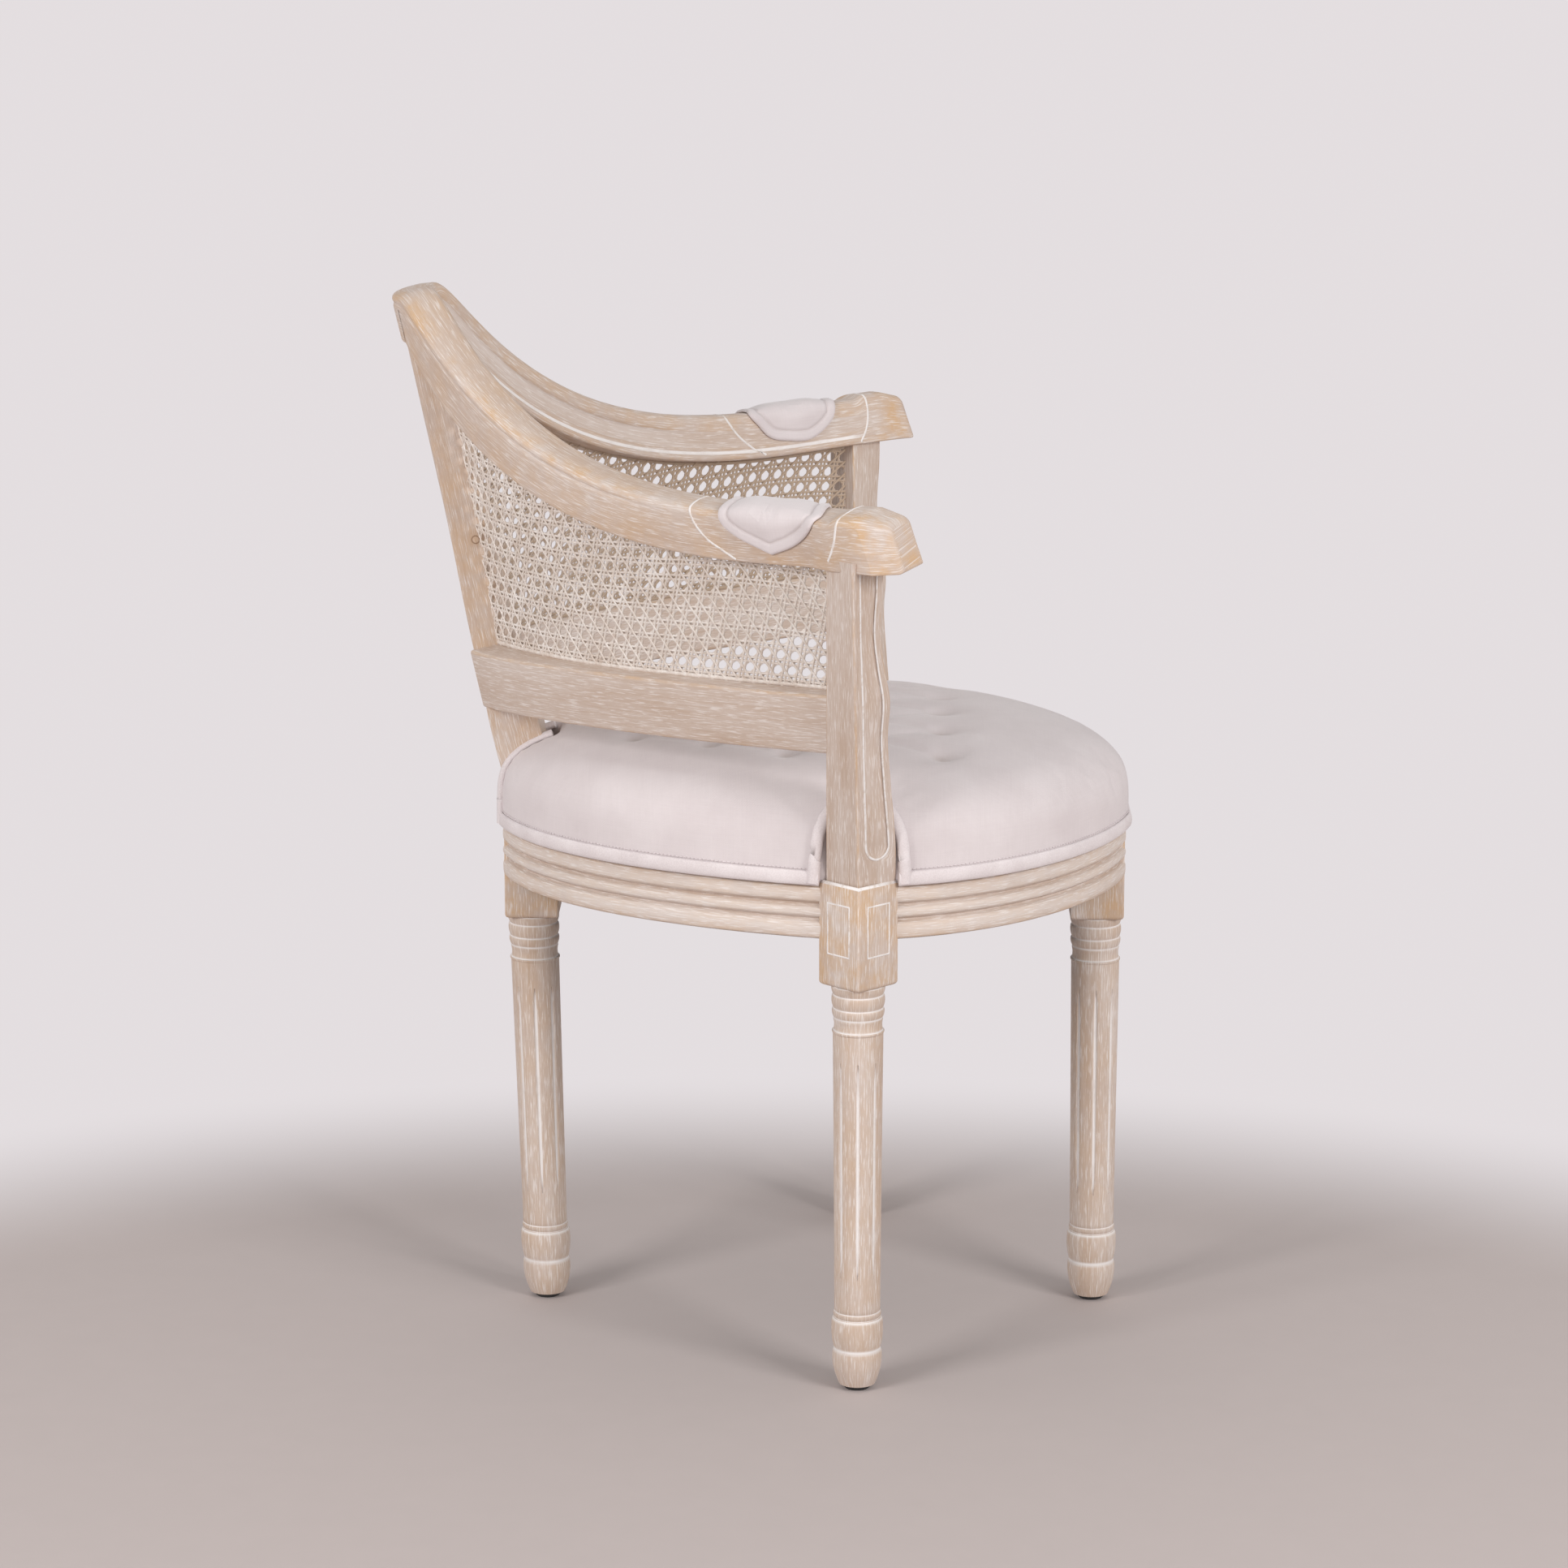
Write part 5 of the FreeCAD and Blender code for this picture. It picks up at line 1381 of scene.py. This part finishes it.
def puffed(piece, settings, weights):
    # Cloth under pressure, held by each point's weight, then frozen into the mesh
    start = np.zeros(len(piece.data.vertices) * 3)
    piece.data.vertices.foreach_get("co", start)
    start = start.reshape(-1, 3)
    holds = piece.vertex_groups.new(name="held")
    for k, weight in enumerate(weights):
        if weight > 0:
            holds.add([k], weight, "REPLACE")
    cloth = piece.modifiers.new("cloth", "CLOTH")
    cloth.settings.use_pressure = True
    cloth.settings.uniform_pressure_force = settings["pressure"]
    cloth.settings.effector_weights.gravity = 0
    cloth.settings.vertex_group_mass = "held"
    cloth.settings.tension_stiffness = puff["stiffness"]
    cloth.settings.compression_stiffness = puff["stiffness"]
    cloth.settings.bending_stiffness = puff["bending"]
    cloth.settings.quality = puff["quality"]
    scene = bpy.context.scene
    for number in range(1, settings["frames"] + 1):
        scene.frame_set(number)
    applyModifiers(piece)
    scene.frame_set(1)
    piece.vertex_groups.clear()
    end = np.zeros(len(start) * 3)
    piece.data.vertices.foreach_get("co", end)
    move = end.reshape(-1, 3) - start
    size = np.linalg.norm(move, axis=1, keepdims=True)
    move *= np.minimum(1.0, settings["cap"] / np.maximum(size, 1e-9))
    piece.data.vertices.foreach_set("co", (start + move).ravel())
    piece.data.update()


def softened(piece):
    smooth = piece.modifiers.new("smooth", "SUBSURF")
    smooth.levels = 1
    smooth.render_levels = 1
    applyModifiers(piece)
    piece.data.shade_smooth()


def boxUV(mesh, name):
    # Cloth lies flat on each face: the two axes that the face shows most
    layer = mesh.uv_layers.get(name) or mesh.uv_layers.new(name=name)
    for face in mesh.polygons:
        drop = max(range(3), key=lambda axis: abs(face.normal[axis]))
        a, b = [axis for axis in range(3) if axis != drop]
        for loop in face.loop_indices:
            co = mesh.vertices[mesh.loops[loop].vertex_index].co
            layer.data[loop].uv = (co[a], co[b])


def voxelRemesh(piece, size):
    remesh = piece.modifiers.new("remesh", "REMESH")
    remesh.mode = "VOXEL"
    remesh.voxel_size = size
    applyModifiers(piece)


def buildCushion():
    tufts = tuftPlaces()
    creases = tuftCreases(tufts)
    piece = buildCushionBlank()
    cutRooms(piece)
    voxelRemesh(piece, cushion["voxel"])
    for vertex in piece.data.vertices:
        point = Vector((vertex.co.x, vertex.co.y - shiftY, 0))
        if vertex.co.z < cushion["tuftFrom"]:
            continue
        pit = max(bell((point - tuft).length, cushion["tuftRadius"]) for tuft in tufts)
        fold = max(bell(nearCrease(point, crease), cushion["creaseWidth"]) for crease in creases)
        vertex.co.z -= max(cushion["tuftDepth"] * pit, cushion["creaseDepth"] * fold)

    def held(x, y, z):
        if z < cushion["heldBelow"] or roomDistance(x, y) < cushion["heldBeside"]:
            return 1.0
        near = min((Vector((x, y, 0)) - tuft).length for tuft in tufts)
        return 1.0 if near < cushion["heldTuft"] else 0.0

    puffed(piece, cushion, [held(v.co.x, v.co.y - shiftY, v.co.z) for v in piece.data.vertices])
    softened(piece)
    mesh = piece.data
    boxUV(mesh, "weave")
    # Painted shade: darker cloth in the middle of each tuft pit, kept in the crease mark
    marks = []
    for vertex in mesh.vertices:
        point = Vector((vertex.co.x, vertex.co.y - shiftY, 0))
        pit = max(bell((point - tuft).length, cushion["tuftShade"]) for tuft in tufts)
        marks.append(pit if vertex.co.z > cushion["tuftFrom"] else 0.0)
    mesh.attributes.new("crease", "FLOAT", "POINT").data.foreach_set("value", marks)
    mesh.materials.clear()
    mesh.materials.append(linenFinish)
    return piece


seatCushion = carried(buildCushion(), "linen", "seat_cushion")
print("cushion made")


# Folded bands along the foot of the cushion, bindings beside the posts and a row of stitches

welt = {
    "band": 0.0114, "binding": 0.0098, "thick": 0.0046, "bindingThick": 0.0064, "rise": 0.0060, "out": 0.0040,
    "beside": 0.0048, "lean": 0.11, "lift": 0.0004, "climb": 0.041, "stations": 60, "stitch": 0.0022,
    "stitchPitch": 0.0034, "thread": 0.0008, "stitchRise": 0.0130, "stitchOut": -0.0004,
    "stitchStart": 0.3, "seekStep": 0.0005, "wallSteps": 7, "climbSteps": 26, "climbPower": 2.2,
    "rearSpan": (0.008, 1.004), "frontSpan": (-0.004, 1.0),
}


def domeReach(x, y):
    return reachAt(math.atan2(y, x)) * (1 + cushion["bulge"] / plan["legX"]) * cushion["shrink"]


def domeTop(x, y):
    # Height and facing of the unpadded dome over a plan point
    reach = domeReach(x, y)
    share = min(math.hypot(x, y) / reach, 1.0)
    power = cushion["fullness"]
    tall = cushion["crownZ"] - cushion["sideZ"]
    rise = (1 - share ** power) ** (1 / power)
    steep = (share / max(rise, 1e-3)) ** (power - 1) * tall / reach
    facing = Vector((x, y, 0)).normalized() * steep + Vector((0, 0, 1))
    return cushion["sideZ"] + tall * rise, facing.normalized()


def climbing(corner, direction, away):
    # Binding that follows the wall and the dome up beside a post
    step = Vector((*direction, 0))
    start = Vector((*corner, 0)) + Vector((*away, 0)) * welt["beside"]
    while math.hypot(start.x, start.y) < domeReach(start.x, start.y):
        start -= step * welt["seekStep"]
    outward = Vector((start.x, start.y, 0)).normalized()
    path = [(Vector((start.x, start.y, z)) + outward * welt["lift"], outward)
            for z in spread(cushion["lowZ"] + welt["thick"] / 2, cushion["sideZ"], welt["wallSteps"])]
    for share in spread(0.0, 1.0, welt["climbSteps"])[1:]:
        place = start + step * (welt["climb"] * share ** welt["climbPower"])
        height, facing = domeTop(place.x, place.y)
        path.append((Vector((place.x, place.y, height)) + facing * welt["lift"], facing))
    lean = Vector((*away, 0)) * welt["lean"]
    return [(point - lean * (point.z - cushion["lowZ"]), facing) for point, facing in path]


def footRun(curve, low, high):
    level = Vector((0, 0, cushion["lowZ"] + welt["rise"]))
    path = []
    for t in spread(low, high, welt["stations"]):
        outward = planOutward(curve, t)
        path.append((planPoint(curve, t) + outward * welt["out"] + level, outward))
    return path


def bandPaths():
    # Foot band of each rail, and the bindings beside the posts at its ends
    slant = math.sqrt(0.5)
    x, y = plan["legX"], plan["legY"]
    rearReach, frontReach = postReach()
    rearFoot = footRun(rearRailCurve, *welt["rearSpan"])
    rearBindings = [climbing((blockHalf, plan["rearLegY"] + blockHalf - plan["railInset"]), (0, -1), (1, 0)),
                    climbing((x, y + rearReach), (-slant, -slant), (-slant, slant))]
    frontFoot = footRun(frontRailCurve, *welt["frontSpan"])
    frontFoot.append((Vector((0, frontFoot[-1][0].y, frontFoot[-1][0].z)), Vector((0, -1, 0))))
    frontBindings = [climbing((x, y - frontReach), (-slant, slant), (-slant, -slant))]
    return {"rear": (rearFoot, rearBindings), "front": (frontFoot, frontBindings)}


def stitches(path):
    # Short straight stitches a little above the band
    runs = runLengths([place[0] for place in path])
    table = np.array([[*point, *facing] for point, facing in path])
    rise = Vector((0, 0, welt["stitchRise"] - welt["rise"]))

    def placeAt(run):
        values = [float(np.interp(run, runs, table[:, j])) for j in range(6)]
        facing = Vector(values[3:]).normalized()
        return Vector(values[:3]) + rise + facing * welt["stitchOut"], facing

    pitch = welt["stitchPitch"]
    starts = [(k + welt["stitchStart"]) * pitch for k in range(int(runs[-1] / pitch))]
    return [[placeAt(start), placeAt(start + welt["stitch"])] for start in starts]


for end, (foot, bindings) in bandPaths().items():
    for side in (1, -1):
        hand = sideName(side)
        cloth = [ribbons("band", [foot], welt["band"], welt["thick"], 14, pipingFinish, side),
                 ribbons("bindings", bindings, welt["binding"], welt["bindingThick"], 14, pipingFinish, side),
                 ribbons("stitches", stitches(foot), welt["thread"], welt["thread"], 5, pipingFinish, side)]
        carried(joined(end + hand.capitalize() + "Welt", cloth), "linen", end + "_" + hand + "_welt")
print("welts made")


# Arm pads

armPad = {
    # Outline from the outer tip round by the rear, the inner side and the front: (t, girth)
    "outline": ((0.864, 0.0439), (0.842, 0.0380), (0.821, 0.0318), (0.805, 0.0239), (0.799, 0.0150),
                (0.796, 0.0020), (0.793, -0.0080), (0.790, -0.0160), (0.800, -0.0240), (0.816, -0.0355),
                (0.840, -0.0400), (0.873, -0.0410), (0.902, -0.0290), (0.911, -0.0160), (0.9165, -0.0050),
                (0.922, 0.0040), (0.927, 0.0150), (0.922, 0.0209), (0.912, 0.0278), (0.890, 0.0368),
                (0.877, 0.0405), (0.864, 0.0439)),
    "middle": (0.858, 0.0), "places": 8, "radius": 0.0415, "edge": 0.0030, "band": 0.0088, "seam": 0.0013,
    "seamWidth": 0.0011, "crown": 0.0026, "gap": 0.0003, "pressure": 4.0, "cap": 0.002, "frames": 20,
    "depths": (0.0, 0.0002, 0.0006, 0.0012, 0.0020, 0.0030, 0.0045, 0.0060, 0.0072, 0.0080, 0.0088, 0.0096,
               0.0106, 0.0120, 0.0145, 0.0180, 0.0225, 0.0275, 0.0330, 0.0380),
    "underDepths": (0.0120, 0.0225, 0.0330, 0.0380), "crownShare": 0.6, "held": 0.001, "seamShade": 0.45,
}


def padLift(depth):
    # Rounded edge, a sewn seam inside the border and a soft crown
    edge = armPad["edge"] * math.sqrt(1 - (1 - min(1.0, depth / armPad["edge"])) ** 2)
    seam = armPad["seam"] * bell(depth - armPad["band"], armPad["seamWidth"])
    crown = armPad["crown"] * smoothStep(armPad["band"], armPad["radius"] * armPad["crownShare"], depth)
    return armPad["gap"] + edge - seam + crown


def rimDistance(place, rim):
    along = np.roll(rim, -1, axis=0) - rim
    share = np.clip(((place - rim) * along).sum(axis=1) / (along ** 2).sum(axis=1), 0, 1)
    return float(np.linalg.norm(place - rim - along * share[:, None], axis=1).min())


def buildArmPad():
    # Rings from the rim to the middle, over the top and back along the underside
    length = (bowPlace(0.92) - bowPlace(0.80)).length / 0.12
    scale = np.array((length, 1.0))
    rim = np.array(throughPoints([np.array(row) for row in armPad["outline"]], armPad["places"])[:-1]) * scale
    middle = np.array(armPad["middle"]) * scale
    shape, count = newShape(), len(rim)
    places, depths = [], []

    def addPlace(place, top):
        depth = rimDistance(place, rim)
        lift = padLift(depth) if top else armPad["gap"]
        shape["points"].append(onArm(*(place / scale), lift)[0])
        places.append(place)
        depths.append(depth if top else 0.0)

    def addFace(*corners):
        shape["faces"].append(corners)
        shape["uv"].append([tuple(places[k]) for k in corners])

    for top, rings in ((True, armPad["depths"]), (False, armPad["underDepths"])):
        last = 0
        for depth in rings:
            first = len(places)
            for place in middle + (rim - middle) * (1 - depth / armPad["radius"]):
                addPlace(place, top)
            if first:
                for j in range(count):
                    n = (j + 1) % count
                    addFace(last + j, last + n, first + n, first + j)
            last = first
        addPlace(middle, top)
        for j in range(count):
            addFace(last + j, last + (j + 1) % count, len(places) - 1)
    shape["wax"] = shape["wear"] = [0.0] * len(places)
    piece = finishShape(shape, "leftArmPad", linenFinish, uvName="weave")
    # Painted shade along the sunk seam inside the border, kept in the crease mark
    seams = [armPad["seamShade"] * bell(depth - armPad["band"], armPad["seamWidth"]) for depth in depths]
    piece.data.attributes.new("crease", "FLOAT", "POINT").data.foreach_set("value", seams)
    free = armPad["band"] + armPad["held"]
    puffed(piece, armPad, [0.0 if depth > free else 1.0 for depth in depths])
    softened(piece)
    return piece


def mirrored(piece, name):
    mesh = piece.data.copy()
    mesh.transform(Matrix.Diagonal((-1, 1, 1, 1)))
    mesh.flip_normals()
    return linked(name, mesh)


leftPad = buildArmPad()
for pad, node in ((leftPad, "left_arm_pad"), (mirrored(leftPad, "rightArmPad"), "right_arm_pad")):
    carried(pad, "linen", node)
print("arm pads made")


# Finishes for the CAD pieces that stay

kept = {
    innerFinish: ("front_corner_block", "rear_corner_block", "left_corner_block", "right_corner_block",
                  "seat_deck", "seat_rail_dowels", "back_rail_dowels", "arm_post_dowels", "rear_post_dowels",
                  "crest_dowels"),
    dustFinish: ("dust_cover",),
    glideFinish: ("front_glide", "rear_glide", "left_glide", "right_glide"),
    steelFinish: ("corner_block_screws", "deck_screws"),
}
for finish, names in kept.items():
    for name in names:
        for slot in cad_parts[name].material_slots:
            slot.material = finish


# Studio: flat floor that fades into a pale surround, soft light and the camera

studio = {
    "floor": (0.545, 0.480, 0.465), "surround": (0.775, 0.732, 0.747), "floorReach": 30.0,
    "fade": (1.05, 1.47), "fadeFrom": (-0.8, 0.0, 0.0), "world": 0.49, "worldTone": (1.0, 0.985, 0.975),
    "camera": (-3.8631, -0.0698, 1.2782), "aim": 0.0144, "pitch": 0.2165, "lens": 113.504, "sensor": 36.0,
    "clipEnd": 60, "floorDim": 0.96,
    "lamps": (("frontLamp", (-2.6, -2.4, 1.9), 70), ("rearLamp", (-2.6, 2.4, 1.9), 66)),
    "lampAim": (0, 0, 0.4), "lampSize": 1.3, "lampTone": (1.0, 0.988, 0.980),
}


def backgroundRays(tree):
    # 1 for what the camera sees directly, in a reflection or through glass
    path = tree.nodes.new("ShaderNodeLightPath").outputs
    seen = plus(tree, path["Is Camera Ray"], path["Is Glossy Ray"])
    return plus(tree, seen, path["Is Transmission Ray"], clamp=True)


def blendInto(tree, factor, first, second, output):
    blend = tree.nodes.new("ShaderNodeMixShader")
    tree.links.new(factor, blend.inputs[0])
    tree.links.new(first.outputs[0], blend.inputs[1])
    tree.links.new(second.outputs[0], blend.inputs[2])
    tree.links.new(blend.outputs[0], tree.nodes[output].inputs["Surface"])


def buildFloor():
    reach = studio["floorReach"]
    mesh = bpy.data.meshes.new("studioFloor")
    corners = [(-reach, -reach, 0), (reach, -reach, 0), (reach, reach, 0), (-reach, reach, 0)]
    mesh.from_pydata(corners, [], [(0, 1, 2, 3)])
    material, tree, shader = newMaterial("studioFloor", 0.8)
    fleck = noiseNode(tree, objectCoords(tree), 30, 5)
    dim = tuple(studio["floorDim"] * value for value in studio["floor"])
    tree.links.new(mixColour(tree, fleck, dim, studio["floor"]), shader.inputs["Base Color"])
    fade = ranged(tree, distanceFrom(tree, studio["fadeFrom"]), *studio["fade"])
    fade.node.interpolation_type = "SMOOTHSTEP"
    glow = tree.nodes.new("ShaderNodeEmission")
    glow.inputs["Color"].default_value = (*studio["surround"], 1)
    shown = times(tree, fade, backgroundRays(tree))
    blendInto(tree, shown, shader, glow, "Material Output")
    mesh.materials.append(material)
    linked("studioFloor", mesh)


def buildWorld():
    world = bpy.data.worlds.new("studioWorld")
    world.use_nodes = True
    tree = world.node_tree
    light = tree.nodes["Background"]
    light.inputs["Color"].default_value = (*studio["worldTone"], 1)
    light.inputs["Strength"].default_value = studio["world"]
    shown = tree.nodes.new("ShaderNodeBackground")
    shown.inputs["Color"].default_value = (*studio["surround"], 1)
    blendInto(tree, backgroundRays(tree), light, shown, "World Output")
    bpy.context.scene.world = world


def placedAt(name, data, place, aim):
    holder = linked(name, data)
    holder.location = place
    holder.rotation_euler = aim.to_track_quat("-Z", "Y").to_euler()
    return holder


def areaLamp(name, place, power):
    lamp = bpy.data.lights.new(name, "AREA")
    lamp.shape = "SQUARE"
    lamp.size = studio["lampSize"]
    lamp.energy = power
    lamp.color = studio["lampTone"]
    placedAt(name, lamp, place, Vector(studio["lampAim"]) - Vector(place))


def buildCamera():
    data = bpy.data.cameras.new("camera")
    data.sensor_width = studio["sensor"]
    data.lens = studio["lens"]
    data.clip_end = studio["clipEnd"]
    flat = math.cos(studio["pitch"])
    aim = Vector((math.cos(studio["aim"]) * flat, math.sin(studio["aim"]) * flat, -math.sin(studio["pitch"])))
    bpy.context.scene.camera = placedAt("camera", data, studio["camera"], aim)


buildFloor()
for lamp in studio["lamps"]:
    areaLamp(*lamp)
buildCamera()
buildWorld()
bpy.context.scene.view_settings.view_transform = "Standard"
print("studio made")
